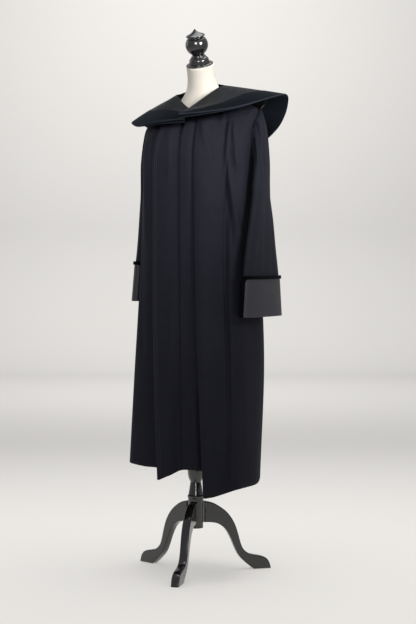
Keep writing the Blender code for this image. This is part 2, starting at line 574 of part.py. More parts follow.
def make_leg(name, azimuth):
    """One flat-sawn leg, an outline given its thickness, with its edges taken off."""
    curve = bpy.data.curves.new(name, "CURVE")
    curve.dimensions = "2D"
    curve.fill_mode = "BOTH"
    curve.extrude = LEG_THICKNESS / 2 * CM
    outline = smooth_through([(r, h, 0) for r, h in LEG_TOP_EDGE], 1)
    outline += smooth_through([(r, h, 0) for r, h in LEG_UNDER_EDGE], 1)
    spline = curve.splines.new("POLY")
    spline.points.add(len(outline) - 1)
    for point, place in zip(spline.points, outline):
        point.co = (place.x * CM, place.y * CM, 0, 1)
    spline.use_cyclic_u = True
    obj = add_object(name, curve, "black_lacquer")
    upright = Matrix.Rotation(math.radians(90), 4, "X")
    obj.matrix_world = Matrix.Rotation(azimuth - math.radians(90), 4, "Z") @ upright
    weld = obj.modifiers.new("weld", "WELD")
    weld.merge_threshold = LEG_MERGE * CM
    bevel = obj.modifiers.new("edges", "BEVEL")
    bevel.width = LEG_BEVEL * CM
    bevel.segments = 2
    bevel.limit_method = "ANGLE"
    bevel.angle_limit = BEVEL_FROM


def make_stand():
    top = Vector((0, FORM_RINGS[-1][3], FORM_RINGS[-1][0]))
    axis = Vector((0, -math.sin(NECK_TILT), math.cos(NECK_TILT)))
    make_turned("neck_cap", NECK_CAP_PROFILE, top + axis * SEAM_GAP, NECK_TILT)
    make_turned("finial", FINIAL_PROFILE, top + axis * (SEAM_GAP * 2 - FINIAL_GAP), NECK_TILT)
    make_turned("pole", POLE_PROFILE)
    make_turned("hub", HUB_PROFILE)
    for k, node in enumerate(LEG_NODES):
        make_leg(node, FRONT_LEG_AZIMUTH + k * math.radians(120))


def move_origin_under_the_middle():
    """Move the object sideways, so that the origin is under the middle of its box."""
    bpy.context.view_layer.update()
    graph = bpy.context.evaluated_depsgraph_get()
    objects = list(bpy.data.collections["legal_robe"].objects)
    corners = []
    for obj in objects:
        evaluated = obj.evaluated_get(graph)
        mesh = evaluated.to_mesh()
        corners += [evaluated.matrix_world @ vertex.co for vertex in mesh.vertices]
        evaluated.to_mesh_clear()
    middle_x = (min(p.x for p in corners) + max(p.x for p in corners)) / 2
    middle_y = (min(p.y for p in corners) + max(p.y for p in corners)) / 2
    for obj in objects:
        obj.location.x -= middle_x
        obj.location.y -= middle_y


def main():
    for obj in list(bpy.data.objects):
        bpy.data.objects.remove(obj, do_unlink=True)
    collection = bpy.data.collections.new("legal_robe")
    bpy.context.scene.collection.children.link(collection)
    make_body()
    for side in ("left", "right"):
        make_sleeve(side)
        make_cuff(side)
    make_collar()
    make_form()
    make_stand()
    move_origin_under_the_middle()


main()
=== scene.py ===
"""The looks of a long black legal robe on a limbless dress form with a turned tripod stand.

The cloth is drawn from the same lines as the solids, much finer, with its creases, pressed lines
and stitching. Tables are in centimetres, measured from the pole's axis at floor level, as the
solids' are. The robe faces -Y and the wearer's left is +X.
"""
import math

import bpy
import numpy as np
from mathutils import Matrix, Vector
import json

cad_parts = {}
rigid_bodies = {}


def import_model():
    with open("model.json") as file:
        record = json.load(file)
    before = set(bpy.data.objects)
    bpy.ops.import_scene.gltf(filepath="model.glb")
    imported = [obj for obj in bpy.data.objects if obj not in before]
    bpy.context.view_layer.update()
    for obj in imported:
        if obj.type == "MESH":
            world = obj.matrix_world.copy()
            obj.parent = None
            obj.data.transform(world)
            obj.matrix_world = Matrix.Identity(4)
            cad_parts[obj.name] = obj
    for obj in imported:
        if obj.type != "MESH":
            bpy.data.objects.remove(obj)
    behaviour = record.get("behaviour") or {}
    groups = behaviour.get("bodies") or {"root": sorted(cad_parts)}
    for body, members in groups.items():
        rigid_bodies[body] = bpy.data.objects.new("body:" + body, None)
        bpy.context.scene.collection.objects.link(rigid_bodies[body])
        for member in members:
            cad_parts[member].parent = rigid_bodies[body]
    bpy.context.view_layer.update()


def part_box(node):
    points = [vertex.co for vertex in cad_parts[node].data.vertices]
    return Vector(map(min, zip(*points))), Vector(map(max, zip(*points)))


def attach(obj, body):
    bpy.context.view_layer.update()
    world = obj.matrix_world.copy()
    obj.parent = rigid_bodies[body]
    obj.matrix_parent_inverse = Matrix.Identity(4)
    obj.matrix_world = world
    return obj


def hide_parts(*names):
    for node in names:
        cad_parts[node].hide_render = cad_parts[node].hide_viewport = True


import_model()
BODY = "root"

CM = 0.01
POLE_LOW, POLE_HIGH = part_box("pole")
AXIS = Vector(((POLE_LOW[0] + POLE_HIGH[0]) / 2, (POLE_LOW[1] + POLE_HIGH[1]) / 2, 0.0))

# Walls and gaps, in centimetres, as in the solids. The side seams are closer than theirs, so that
# no daylight shows through them.
CLOTH = 0.20
SILK = 0.20
VELVET = 0.36
SEAM_GAP = 0.03
SIDE_GAP = 0.02
LAY_GAP = 0.05
RIDGE_GAP = 0.10

# --- Camera ---
IMAGE_WIDTH, IMAGE_HEIGHT = 416, 624
CAMERA_AZIMUTH = math.radians(22.0)
CAMERA_DISTANCE = 4.5
CAMERA_HEIGHT = 0.917
FOCAL_PIXELS = 1530.0
AXIS_PIXEL_X = 195.8        # where the pole's axis stands in the photograph
HORIZON_PIXEL_Y = 259.6     # the camera's own height in the photograph


def put_in_scene(name, data):
    thing = bpy.data.objects.new(name, data)
    bpy.context.scene.collection.objects.link(thing)
    return thing


def make_camera():
    data = bpy.data.cameras.new("photo_camera")
    data.sensor_fit = "VERTICAL"
    data.sensor_height = 36.0
    data.lens = FOCAL_PIXELS * data.sensor_height / IMAGE_HEIGHT
    data.shift_x = (IMAGE_WIDTH / 2 - AXIS_PIXEL_X) / IMAGE_HEIGHT
    data.shift_y = (HORIZON_PIXEL_Y - IMAGE_HEIGHT / 2) / IMAGE_HEIGHT
    camera = put_in_scene("photo_camera", data)
    camera.location = (AXIS.x + CAMERA_DISTANCE * math.sin(CAMERA_AZIMUTH),
                       AXIS.y - CAMERA_DISTANCE * math.cos(CAMERA_AZIMUTH), CAMERA_HEIGHT)
    camera.rotation_euler = (math.radians(90), 0, CAMERA_AZIMUTH)
    bpy.context.scene.camera = camera


# --- Shader node groups and materials ---
def new_group(name, inputs, outputs):
    """An empty node group. Its sockets are numbers, apart from one that is named Vector."""
    group = bpy.data.node_groups.new(name, "ShaderNodeTree")
    for way, titles in (("INPUT", inputs), ("OUTPUT", outputs)):
        for title in titles:
            kind = "NodeSocketVector" if title == "Vector" else "NodeSocketFloat"
            group.interface.new_socket(title, in_out=way, socket_type=kind)
    entry, leave = group.nodes.new("NodeGroupInput"), group.nodes.new("NodeGroupOutput")
    return group, entry.outputs, leave.inputs


def set_input(tree, socket, value):
    """Link value to the socket if it is a socket itself, or else set the socket to it."""
    if isinstance(value, bpy.types.NodeSocket):
        tree.links.new(value, socket)
    else:
        socket.default_value = value


def set_inputs(tree, node, values):
    """Set or link a node's inputs by name. _ stands for a space."""
    for title, value in values.items():
        set_input(tree, node.inputs[title.replace("_", " ")], value)


def add_math(tree, operation, first, second=0.0, clamp=False):
    """A Math node. Each of first and second is a socket or a number."""
    node = tree.nodes.new("ShaderNodeMath")
    node.operation = operation
    node.use_clamp = clamp
    set_input(tree, node.inputs[0], first)
    set_input(tree, node.inputs[1], second)
    return node.outputs[0]


def blend(tree, first, second, share=0.5):
    """The first value times share, plus the second times the rest of 1."""
    return add_math(tree, "ADD", add_math(tree, "MULTIPLY", first, share),
                    add_math(tree, "MULTIPLY", second, 1 - share))


def parts(tree, vector):
    """The X, Y and Z of a vector."""
    split = tree.nodes.new("ShaderNodeSeparateXYZ")
    tree.links.new(vector, split.inputs[0])
    return split.outputs


def stretched(tree, vector, scale):
    node = tree.nodes.new("ShaderNodeMapping")
    set_inputs(tree, node, {"Vector": vector, "Scale": scale})
    return node.outputs[0]


def add_noise(tree, vector, scale, detail, roughness=0.55):
    node = tree.nodes.new("ShaderNodeTexNoise")
    set_inputs(tree, node, {"Vector": vector, "Scale": scale, "Detail": detail,
                            "Roughness": roughness})
    return node.outputs["Fac"]


def make_weave_group():
    """Twill: slanting ribs crossed by single threads, with slubs, on the cloth's own metres."""
    group, entry, leave = new_group("weave", ("Vector", "Threads per metre", "Slant"),
                                    ("Height", "Slub"))
    place = parts(group, entry["Vector"])
    count = entry["Threads per metre"]
    across = add_math(group, "MULTIPLY", place["X"], count)
    along = add_math(group, "MULTIPLY", place["Y"], count)
    slanted = add_math(group, "ADD", across, add_math(group, "MULTIPLY", along, entry["Slant"]))
    rib = add_math(group, "SINE", add_math(group, "MULTIPLY", slanted, math.pi / 2))
    thread = add_math(group, "SINE", add_math(group, "MULTIPLY", along, 2 * math.pi))
    height = add_math(group, "ADD", add_math(group, "MULTIPLY", rib, 0.35),
                      add_math(group, "MULTIPLY", thread, 0.15))
    group.links.new(add_math(group, "ADD", height, 0.5), leave["Height"])
    drawn_out = stretched(group, entry["Vector"], (1.0, 0.12, 1.0))
    group.links.new(add_noise(group, drawn_out, 900.0, 2.0), leave["Slub"])
    return group


def make_line_group():
    """A soft line at a distance from an edge: 1 on the line, 0 from one width away."""
    group, entry, leave = new_group("line", ("Distance", "Place", "Width"), ("Mask",))
    away = add_math(group, "ABSOLUTE",
                    add_math(group, "SUBTRACT", entry["Distance"], entry["Place"]))
    share = add_math(group, "DIVIDE", away, entry["Width"])
    mask = add_math(group, "SUBTRACT", 1.0, share, clamp=True)
    group.links.new(add_math(group, "SMOOTH_MIN", mask, 1.0), leave["Mask"])
    return group


STITCH_GAP = 0.3            # share of a stitch's length that lies between two stitches


def make_stitch_group():
    """Short stitches along a line: a row of dashes sunk in the cloth."""
    group, entry, leave = new_group("stitches", ("Line", "Along", "Length"), ("Mask",))
    step = add_math(group, "FRACT", add_math(group, "DIVIDE", entry["Along"], entry["Length"]))
    thread = add_math(group, "GREATER_THAN", step, STITCH_GAP)
    group.links.new(add_math(group, "MULTIPLY", entry["Line"], thread), leave["Mask"])
    return group


def make_cloud_group():
    """Broad and fine unevenness of a surface, from 0 to 1."""
    group, entry, leave = new_group("clouds", ("Vector", "Broad", "Fine"), ("Broad", "Fine"))
    for title, detail in (("Broad", 2.0), ("Fine", 4.0)):
        noise = add_noise(group, entry["Vector"], entry[title], detail, 0.5)
        group.links.new(noise, leave[title])
    return group


WEAVE = make_weave_group()
LINE = make_line_group()
STITCHES = make_stitch_group()
CLOUDS = make_cloud_group()


def new_material(name):
    material = bpy.data.materials.new(name)
    material.use_nodes = True
    return material, material.node_tree


def place_group(tree, group, **values):
    """A node that uses group, with its inputs set to values."""
    node = tree.nodes.new("ShaderNodeGroup")
    node.node_tree = group
    set_inputs(tree, node, values)
    return node.outputs


def set_shader(tree, **values):
    set_inputs(tree, tree.nodes["Principled BSDF"], values)


def add_uv(tree, name):
    node = tree.nodes.new("ShaderNodeUVMap")
    node.uv_map = name
    return node.outputs["UV"]


def object_place(tree):
    return tree.nodes.new("ShaderNodeTexCoord").outputs["Object"]


def place_cloth(tree, threads, slant, broad, fine):
    """The weave on the cloth's own metres, and the clouds on the object's."""
    return (place_group(tree, WEAVE, Vector=add_uv(tree, "cloth"), Threads_per_metre=threads,
                        Slant=slant),
            place_group(tree, CLOUDS, Vector=object_place(tree), Broad=broad, Fine=fine))


def mix_colours(tree, share, dark, light):
    node = tree.nodes.new("ShaderNodeMix")
    node.data_type = "RGBA"
    for index, value in ((0, share), (6, dark), (7, light)):
        set_input(tree, node.inputs[index], value)
    return node.outputs[2]


def spread(tree, value, low, high, to_low=0.0, to_high=1.0):
    """The value, carried from low and high to to_low and to_high, and no further."""
    node = tree.nodes.new("ShaderNodeMapRange")
    for socket, number in zip(node.inputs, (value, low, high, to_low, to_high)):
        set_input(tree, socket, number)
    return node.outputs[0]


def add_bump(tree, height, strength, distance, normal=None):
    node = tree.nodes.new("ShaderNodeBump")
    set_inputs(tree, node, {"Strength": strength, "Distance": distance, "Height": height})
    if normal is not None:
        tree.links.new(normal, node.inputs["Normal"])
    return node.outputs["Normal"]


def add_stitches(tree, row, from_edge, along, strength, depth, normal):
    """A row of stitches sunk in the cloth. row: its place, its width, a stitch's length."""
    line = place_group(tree, LINE, Distance=from_edge, Place=row[0], Width=row[1])
    dashes = place_group(tree, STITCHES, Line=line["Mask"], Along=along, Length=row[2])
    return add_bump(tree, dashes["Mask"], strength, depth, normal)


# Colours are linear.
WOOL_DARK, WOOL_LIGHT = (0.0076, 0.0080, 0.0132, 1), (0.0118, 0.0124, 0.0192, 1)
WOOL_SHEEN = (0.42, 0.46, 0.58, 1)
SILK_SHEEN = (0.55, 0.62, 0.75, 1)
VELVET_SHEEN = (0.40, 0.50, 0.62, 1)
SILK_DARK, SILK_LIGHT = (0.0012, 0.0017, 0.0027, 1), (0.0023, 0.0031, 0.0047, 1)
SATIN_DARK, SATIN_LIGHT = (0.0300, 0.0280, 0.0345, 1), (0.0390, 0.0365, 0.0440, 1)
VELVET_DARK, VELVET_LIGHT = (0.0012, 0.0019, 0.0031, 1), (0.0024, 0.0035, 0.0055, 1)
VELVET_UNDERSIDE_PAINTED_LIGHT = (0.0220, 0.0290, 0.0370, 1)  # painted light: a lighter colour on the velvet's downward faces
VELVET_FOLD_PAINTED_HIGHLIGHT = (0.020, 0.024, 0.030, 1)      # painted highlight: a lighter line where the velvet is turned over
EDGING_DARK, EDGING_LIGHT = (0.0006, 0.0007, 0.0012, 1), (0.0014, 0.0016, 0.0026, 1)
JERSEY_DARK, JERSEY_LIGHT = (0.48, 0.44, 0.375, 1), (0.57, 0.535, 0.475, 1)
LACQUER_DARK, LACQUER_LIGHT = (0.0065, 0.0065, 0.0070, 1), (0.0120, 0.0120, 0.0130, 1)
PRESSED_COLOUR = (0.034, 0.036, 0.044, 1)
FORM_SEAM_COLOUR = (0.46, 0.42, 0.35, 1)

# Rows of stitches, in metres: place from the edge, width, length of a stitch.
HEM_STITCHES = (0.032, 0.0016, 0.009)
FRONT_STITCHES = (0.008, 0.0012, 0.0035)
PRESSED_PLACES, PRESSED_WIDTH = (0.007, 0.0135), 0.0020     # lines pressed beside the pleats
FOLD_PAINTED_HIGHLIGHT_WIDTH = 0.0024         # of the painted highlight along the collar's turned edge
FORM_SEAM_WIDTH = 0.0016
UNDERSIDE_PAINTED_LIGHT_FROM, UNDERSIDE_PAINTED_LIGHT_TO = -0.35, -0.60     # slope at which the velvet's painted underside light begins and is whole


def make_wool(name, with_front_lines=False):
    """Fine worsted twill. The fronts add their stitched edge and the pressed pleat lines."""
    material, tree = new_material(name)
    weave, clouds = place_cloth(tree, threads=1500.0, slant=1.0, broad=5.0, fine=45.0)
    slub = add_math(tree, "MULTIPLY", add_math(tree, "SUBTRACT", weave["Slub"], 0.5), 0.5)
    shade = add_math(tree, "ADD", blend(tree, clouds["Broad"], clouds["Fine"], 0.6), slub,
                     clamp=True)
    colour = mix_colours(tree, spread(tree, shade, 0.3, 0.7), WOOL_DARK, WOOL_LIGHT)
    normal = add_bump(tree, weave["Height"], 0.22, 0.0003)
    normal = add_bump(tree, clouds["Fine"], 0.12, 0.0015, normal)
    edge = parts(tree, add_uv(tree, "edge"))
    normal = add_stitches(tree, HEM_STITCHES, edge["Y"], edge["X"], -0.35, 0.0008, normal)
    if with_front_lines:
        normal = add_stitches(tree, FRONT_STITCHES, edge["X"], edge["Y"], -0.5, 0.0010, normal)
        pleat = parts(tree, add_uv(tree, "pleat"))
        for place in PRESSED_PLACES:
            line = place_group(tree, LINE, Distance=pleat["X"], Place=place, Width=PRESSED_WIDTH)
            normal = add_bump(tree, line["Mask"], 0.8, 0.0014, normal)
            colour = mix_colours(tree, add_math(tree, "MULTIPLY", line["Mask"], 0.5),
                                 colour, PRESSED_COLOUR)
    set_shader(tree, Base_Color=colour, Normal=normal, Roughness=0.78, Specular_IOR_Level=0.14,
               Sheen_Weight=0.03, Sheen_Roughness=0.45, Sheen_Tint=WOOL_SHEEN)
    return material


def make_silk(name, dark, light, roughness, specular, threads):
    """Closely woven silk: fine cross ribs, a soft sheen and slight clouding."""
    material, tree = new_material(name)
    weave, clouds = place_cloth(tree, threads, slant=0.0, broad=9.0, fine=80.0)
    shade = blend(tree, clouds["Broad"], weave["Slub"])
    normal = add_bump(tree, weave["Height"], 0.25, 0.0003)
    set_shader(tree, Base_Color=mix_colours(tree, spread(tree, shade, 0.35, 0.65), dark, light),
               Roughness=spread(tree, clouds["Fine"], 0.3, 0.7, roughness - 0.05, roughness + 0.05),
               Normal=add_bump(tree, clouds["Fine"], 0.10, 0.0012, normal),
               Specular_IOR_Level=specular, Sheen_Weight=0.03, Sheen_Roughness=0.35,
               Sheen_Tint=SILK_SHEEN)
    return material


def make_velvet(name, dark, light, turned=False):
    """Short upright pile, brushed in uneven patches. A turned velvet gets a painted highlight where
    it is folded over and painted light on its underside."""
    material, tree = new_material(name)
    clouds = place_group(tree, CLOUDS, Vector=object_place(tree), Broad=14.0, Fine=900.0)
    shade = blend(tree, clouds["Broad"], clouds["Fine"], 0.6)
    colour = mix_colours(tree, spread(tree, shade, 0.35, 0.65), dark, light)
    if turned:
        edge = parts(tree, add_uv(tree, "edge"))
        # painted highlight: a lighter line along the fold of the turned velvet
        fold_highlight = place_group(tree, LINE, Distance=edge["X"], Place=0.0, Width=FOLD_PAINTED_HIGHLIGHT_WIDTH)
        colour = mix_colours(tree, fold_highlight["Mask"], colour, VELVET_FOLD_PAINTED_HIGHLIGHT)
        # painted light: faces that slope down are made lighter, as if lit from below
        slope = parts(tree, tree.nodes.new("ShaderNodeTexCoord").outputs["Normal"])["Z"]
        colour = mix_colours(tree, spread(tree, slope, UNDERSIDE_PAINTED_LIGHT_FROM, UNDERSIDE_PAINTED_LIGHT_TO), colour, VELVET_UNDERSIDE_PAINTED_LIGHT)
    normal = add_bump(tree, clouds["Fine"], 0.30, 0.0006)
    set_shader(tree, Base_Color=colour,
               Normal=add_bump(tree, clouds["Broad"], 0.15, 0.004, normal),
               Roughness=0.92, Specular_IOR_Level=0.05, Sheen_Weight=0.06,
               Sheen_Roughness=0.34, Sheen_Tint=VELVET_SHEEN)
    return material


def make_jersey():
    """Cream knitted cover of the dress form."""
    material, tree = new_material("form_jersey")
    weave, clouds = place_cloth(tree, threads=900.0, slant=0.0, broad=5.0, fine=70.0)
    shade = blend(tree, clouds["Broad"], weave["Slub"])
    edge = parts(tree, add_uv(tree, "edge"))
    seam = place_group(tree, LINE, Distance=edge["X"], Place=0.0, Width=FORM_SEAM_WIDTH)
    colour = mix_colours(tree, spread(tree, shade, 0.35, 0.65), JERSEY_DARK, JERSEY_LIGHT)
    colour = mix_colours(tree, add_math(tree, "MULTIPLY", seam["Mask"], 0.5), colour,
                         FORM_SEAM_COLOUR)
    normal = add_bump(tree, weave["Height"], 0.20, 0.0004)
    set_shader(tree, Base_Color=colour, Roughness=0.85, Sheen_Weight=0.15,
               Normal=add_bump(tree, seam["Mask"], -0.5, 0.0012, normal))
    return material


def make_lacquer():
    """Gloss black lacquer over turned and sawn wood, with faint brush waves and fine dust."""
    material, tree = new_material("black_lacquer")
    place = object_place(tree)
    clouds = place_group(tree, CLOUDS, Vector=place, Broad=18.0, Fine=160.0)
    grain = add_noise(tree, stretched(tree, place, (1.0, 1.0, 0.06)), 220.0, 3.0)
    normal = add_bump(tree, grain, 0.06, 0.001)
    set_shader(tree, Base_Color=mix_colours(tree, spread(tree, clouds["Broad"], 0.35, 0.65),
                                            LACQUER_DARK, LACQUER_LIGHT),
               Roughness=spread(tree, clouds["Fine"], 0.35, 0.70, 0.16, 0.26),
               Normal=add_bump(tree, clouds["Broad"], 0.10, 0.004, normal),
               Specular_IOR_Level=0.5, Coat_Weight=0.6, Coat_Roughness=0.10)
    return material


# --- Surfaces worked out on grids ---
def spline(values, at):
    """Catmull-Rom through rows of values; at counts rows. The same curve as the solids'."""
    values = np.asarray(values, float)
    padded = np.vstack([2 * values[0] - values[1], values, 2 * values[-1] - values[-2]])
    at = np.clip(np.asarray(at, float), 0, len(values) - 1)
    k = np.minimum(at.astype(int), len(values) - 2)
    t = (at - k)[..., None]
    a, b, c, d = padded[k], padded[k + 1], padded[k + 2], padded[k + 3]
    return 0.5 * (2 * b + (c - a) * t + (2 * a - 5 * b + 4 * c - d) * t ** 2
                  + (3 * b - a - 3 * c + d) * t ** 3)


def spans(rows, steps):
    """Evenly spaced places along rows: from each one to the next in that many steps."""
    return np.linspace(0, len(rows) - 1, (len(rows) - 1) * steps + 1)


def smooth_step(t):
    """From 0 to 1 along an S curve, and 0 or 1 beyond."""
    t = np.clip(t, 0, 1)
    return t * t * (3 - 2 * t)


def bezier(a, b, c, d, t):
    """The cubic from a to d that leaves towards b and comes in from c."""
    return a * (1 - t) ** 3 + 3 * b * t * (1 - t) ** 2 + 3 * c * t * t * (1 - t) + d * t ** 3


def normals_of(points, closed):
    """Unit normals of a grid, from its rows (up) crossed into its columns (round)."""
    if closed:
        across = np.roll(points, -1, 1) - np.roll(points, 1, 1)
    else:
        across = np.gradient(points, axis=1)
    normal = np.cross(across, np.gradient(points, axis=0))
    return normal / np.maximum(np.linalg.norm(normal, axis=2, keepdims=True), 1e-9)


def lengths_along(points, axis):
    """Metres from the first point, along an axis of the grid."""
    steps = np.linalg.norm(np.diff(points, axis=axis), axis=2)
    zero = np.zeros_like(np.take(steps, [0], axis))
    return np.cumsum(np.concatenate([zero, steps], axis), axis) * CM


def add_uv_map(mesh, name, u, v, closed):
    """A UV map from grids of u and v. closed grids carry one more column than the points."""
    columns = u.shape[1] if not closed else u.shape[1] - 1
    loops = np.empty(len(mesh.loops), np.int64)
    mesh.loops.foreach_get("vertex_index", loops)
    row, column = loops // columns, loops % columns
    if closed:
        # In a cell that closes the ring, column 0 stands for the last column.
        cell = np.repeat(np.arange(len(mesh.polygons)), 4) % columns
        column = np.where((cell == columns - 1) & (column == 0), columns, column)
    layer = mesh.uv_layers.new(name=name)
    layer.data.foreach_set("uv", np.stack([u[row, column], v[row, column]], -1).ravel())


def grid_piece(name, points, material, closed=False, wall=0.0, maps=None):
    """A sheet through a grid of points in cm, (rows, columns, 3), with its wall across them.

    Rows run round the piece and columns up it. The map "cloth" holds metres of cloth each way.
    maps adds further UV maps: name: (u grid, v grid).
    """
    rows, columns = points.shape[:2]
    wide = columns if closed else columns - 1
    j, i = np.mgrid[0:rows - 1, 0:wide]
    k = (i + 1) % columns
    faces = np.stack([j * columns + i, j * columns + k, (j + 1) * columns + k,
                      (j + 1) * columns + i], -1).reshape(-1, 4)
    mesh = bpy.data.meshes.new(name)
    mesh.from_pydata((points.reshape(-1, 3) * CM + np.array(AXIS)).tolist(), [], faces.tolist())
    mesh.shade_smooth()
    ring = np.concatenate([points, points[:, :1]], 1) if closed else points
    middle = ring[rows // 2]
    across = lengths_along(np.broadcast_to(middle, ring.shape), 1)
    upward = lengths_along(ring, 0)
    add_uv_map(mesh, "cloth", across, upward, closed)
    for title, (u, v) in (maps or {}).items():
        add_uv_map(mesh, title, u, v, closed)
    mesh.materials.append(material)
    piece = put_in_scene(name, mesh)
    if wall:
        solid = piece.modifiers.new("wall", "SOLIDIFY")
        solid.thickness = wall * CM
        solid.offset = 0.0
        solid.use_rim = True
    return piece


def stands_for(piece, node):
    """The piece takes the place of a solid, and rides on the one body."""
    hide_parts(node)
    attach(piece, BODY)


RIM_CORNER = math.radians(50)           # corners sharper than this are rounded


def rounded_rim(piece, radius):
    """Rounds the edges of a piece's wall."""
    bevel = piece.modifiers.new("rim", "BEVEL")
    bevel.width = radius * CM
    bevel.segments = 3
    bevel.limit_method = "ANGLE"
    bevel.angle_limit = RIM_CORNER


# --- The body of the robe ---
BODY_LINES = (
    # name, hem x, y, z, knee x, y, hip x, y, chest x, y, top x, y, z
    ("underlap_end", 3.0, -11.1, 31.4, 3.0, -11.6, 2.9, -11.9, 2.6, -11.7, 2.2, -4.0, 134.8),
    ("centre_under", 0.0, -11.7, 31.2, 0.0, -12.1, 0.0, -12.3, 0.0, -12.1, -0.3, -5.5, 133.6),
    ("right_panel", -3.3, -13.3, 29.6, -4.0, -13.1, -4.4, -12.8, -4.4, -12.5, -3.0, -3.4, 136.0),
    ("right_pleat_edge", -6.5, -13.6, 28.4, -7.9, -12.7, -8.5, -12.1, -8.7, -11.7, -5.0, -0.6, 138.0),
    ("right_pleat_fold", -7.4, -8.6, 30.8, -7.4, -9.4, -7.4, -10.0, -7.7, -10.2, -6.1, 1.4, 139.0),
    ("right_neck_front", -12.9, -8.2, 31.3, -12.0, -8.8, -11.0, -9.4, -10.8, -9.4, -7.4, 5.6, 139.8),
    ("right_front_side", -17.4, -6.6, 31.7, -15.8, -7.0, -14.4, -7.2, -13.9, -6.6, -12.4, 6.9, 137.1),
    ("right_tip_front", -19.5, -3.8, 31.8, -17.4, -4.6, -15.4, -4.8, -15.2, -3.2, -17.0, 8.4, 134.4),
    ("right_cap_front", -19.9, 0.2, 31.7, -17.3, -0.6, -15.4, -0.6, -15.8, 0.6, -16.6, 4.4, 129.6),
    ("right_arm_front", -19.8, 3.8, 31.6, -17.1, 3.6, -15.6, 3.8, -16.0, 4.2, -16.5, 2.6, 122.6),
    ("right_side", -19.2, 7.4, 31.4, -16.9, 7.4, -15.8, 7.4, -16.2, 7.8, -16.7, 8.0, 113.5),
    ("right_arm_back", -18.4, 10.8, 30.8, -16.8, 10.8, -15.8, 10.8, -15.9, 11.2, -16.5, 12.6, 122.4),
    ("right_cap_back", -17.3, 13.2, 30.5, -16.0, 13.2, -15.0, 13.2, -14.9, 13.4, -16.7, 11.4, 129.8),
    ("right_tip_back", -15.6, 14.9, 30.2, -14.6, 14.7, -13.8, 14.5, -13.2, 14.7, -17.0, 8.4, 134.4),
    ("right_back_dip_1", -12.8, 15.0, 29.8, -11.8, 14.6, -11.1, 14.2, -10.8, 14.8, -12.6, 7.0, 137.0),
    ("right_neck_back", -10.0, 18.8, 29.4, -9.3, 18.0, -8.6, 17.0, -8.4, 16.4, -7.4, 5.6, 139.8),
    ("right_back_dip_2", -6.4, 16.4, 29.3, -6.0, 15.8, -5.7, 15.3, -5.7, 15.7, -5.6, 9.6, 141.0),
    ("right_back_fold_2", -3.4, 20.4, 29.2, -3.2, 19.4, -3.0, 18.2, -3.0, 17.0, -3.4, 11.4, 142.2),
    ("back_middle_dip", 0.0, 17.4, 29.2, 0.0, 16.6, 0.0, 16.0, 0.0, 16.2, 0.0, 12.2, 142.8),
    ("left_back_fold_2", 3.7, 20.6, 29.0, 3.4, 19.6, 3.1, 18.4, 3.0, 17.0, 3.4, 11.4, 142.4),
    ("left_back_dip_2", 6.4, 16.4, 28.9, 6.2, 15.8, 5.9, 15.3, 5.7, 15.7, 5.8, 9.2, 141.6),
    ("left_neck_back", 9.6, 18.0, 28.8, 9.4, 17.6, 8.8, 16.8, 8.6, 16.2, 7.6, 4.8, 140.8),
    ("left_back_dip_1", 12.0, 14.4, 28.7, 11.8, 14.4, 11.2, 14.0, 11.0, 14.2, 12.8, 5.1, 138.4),
    ("left_tip_back", 14.3, 12.8, 28.7, 14.8, 13.6, 14.2, 13.4, 13.6, 13.2, 17.4, 5.4, 136.0),
    ("left_cap_back", 16.0, 10.2, 28.7, 17.0, 11.2, 16.4, 11.0, 15.6, 11.2, 17.2, 8.6, 131.0),
    ("left_arm_back", 17.4, 7.2, 28.4, 18.3, 8.2, 17.4, 7.8, 16.7, 8.2, 17.2, 9.8, 121.6),
    ("left_side", 18.5, 4.0, 27.9, 18.9, 4.8, 17.6, 4.4, 17.2, 4.6, 17.4, 4.8, 114.0),
    ("left_arm_front", 19.1, 0.8, 27.1, 18.8, 0.8, 17.2, -0.4, 17.2, -0.8, 17.1, 0.6, 123.8),
    ("left_cap_front", 19.1, -2.4, 26.8, 18.1, -4.0, 16.7, -5.2, 17.7, -5.6, 17.1, 2.2, 130.8),
    ("left_tip_front", 18.4, -6.4, 26.7, 17.2, -7.4, 16.0, -7.6, 16.7, -7.7, 17.4, 5.4, 136.0),
    ("left_front_side", 16.8, -10.8, 26.4, 15.4, -10.0, 14.4, -9.2, 14.9, -8.6, 12.8, 5.1, 138.4),
    ("left_trough", 13.7, -11.8, 25.3, 12.9, -9.7, 12.0, -9.0, 12.3, -8.7, 7.6, 4.8, 140.8),
    ("left_panel", 10.8, -15.6, 24.5, 9.4, -14.1, 8.5, -13.2, 8.0, -12.2, 5.8, 0.2, 139.2),
    ("left_pleat_edge", 8.6, -15.5, 24.8, 6.4, -14.2, 5.2, -13.5, 4.6, -12.8, 3.8, -2.4, 137.3),
    ("left_pleat_fold", 10.4, -9.4, 30.2, 8.2, -10.4, 6.6, -10.9, 5.4, -11.4, 2.9, -3.9, 136.2),
    ("lap_strip", 5.0, -11.6, 31.4, 4.2, -12.2, 3.4, -12.5, 2.8, -12.6, 1.5, -5.5, 135.0),
    ("lap_edge", 0.7, -12.3, 31.6, 0.5, -12.7, 0.4, -12.9, 0.2, -12.7, 0.2, -6.4, 134.3),
)
LINE_NAMES = [line[0] for line in BODY_LINES]
BODY_PIECES = (
    # node, first line, last line, metres wide and long as cut, area as cut
    ("front_right", "underlap_end", "right_side", (0.66, 1.18), 0.395),
    ("back", "right_side", "left_side", (0.62, 1.20), 0.590),
    ("front_left", "left_side", "lap_edge", (0.66, 1.22), 0.411),
)
KNEE_HEIGHT, HIP_HEIGHT, CHEST_HEIGHT, CHEST_DROP = 60.0, 88.0, 118.0, 7.0
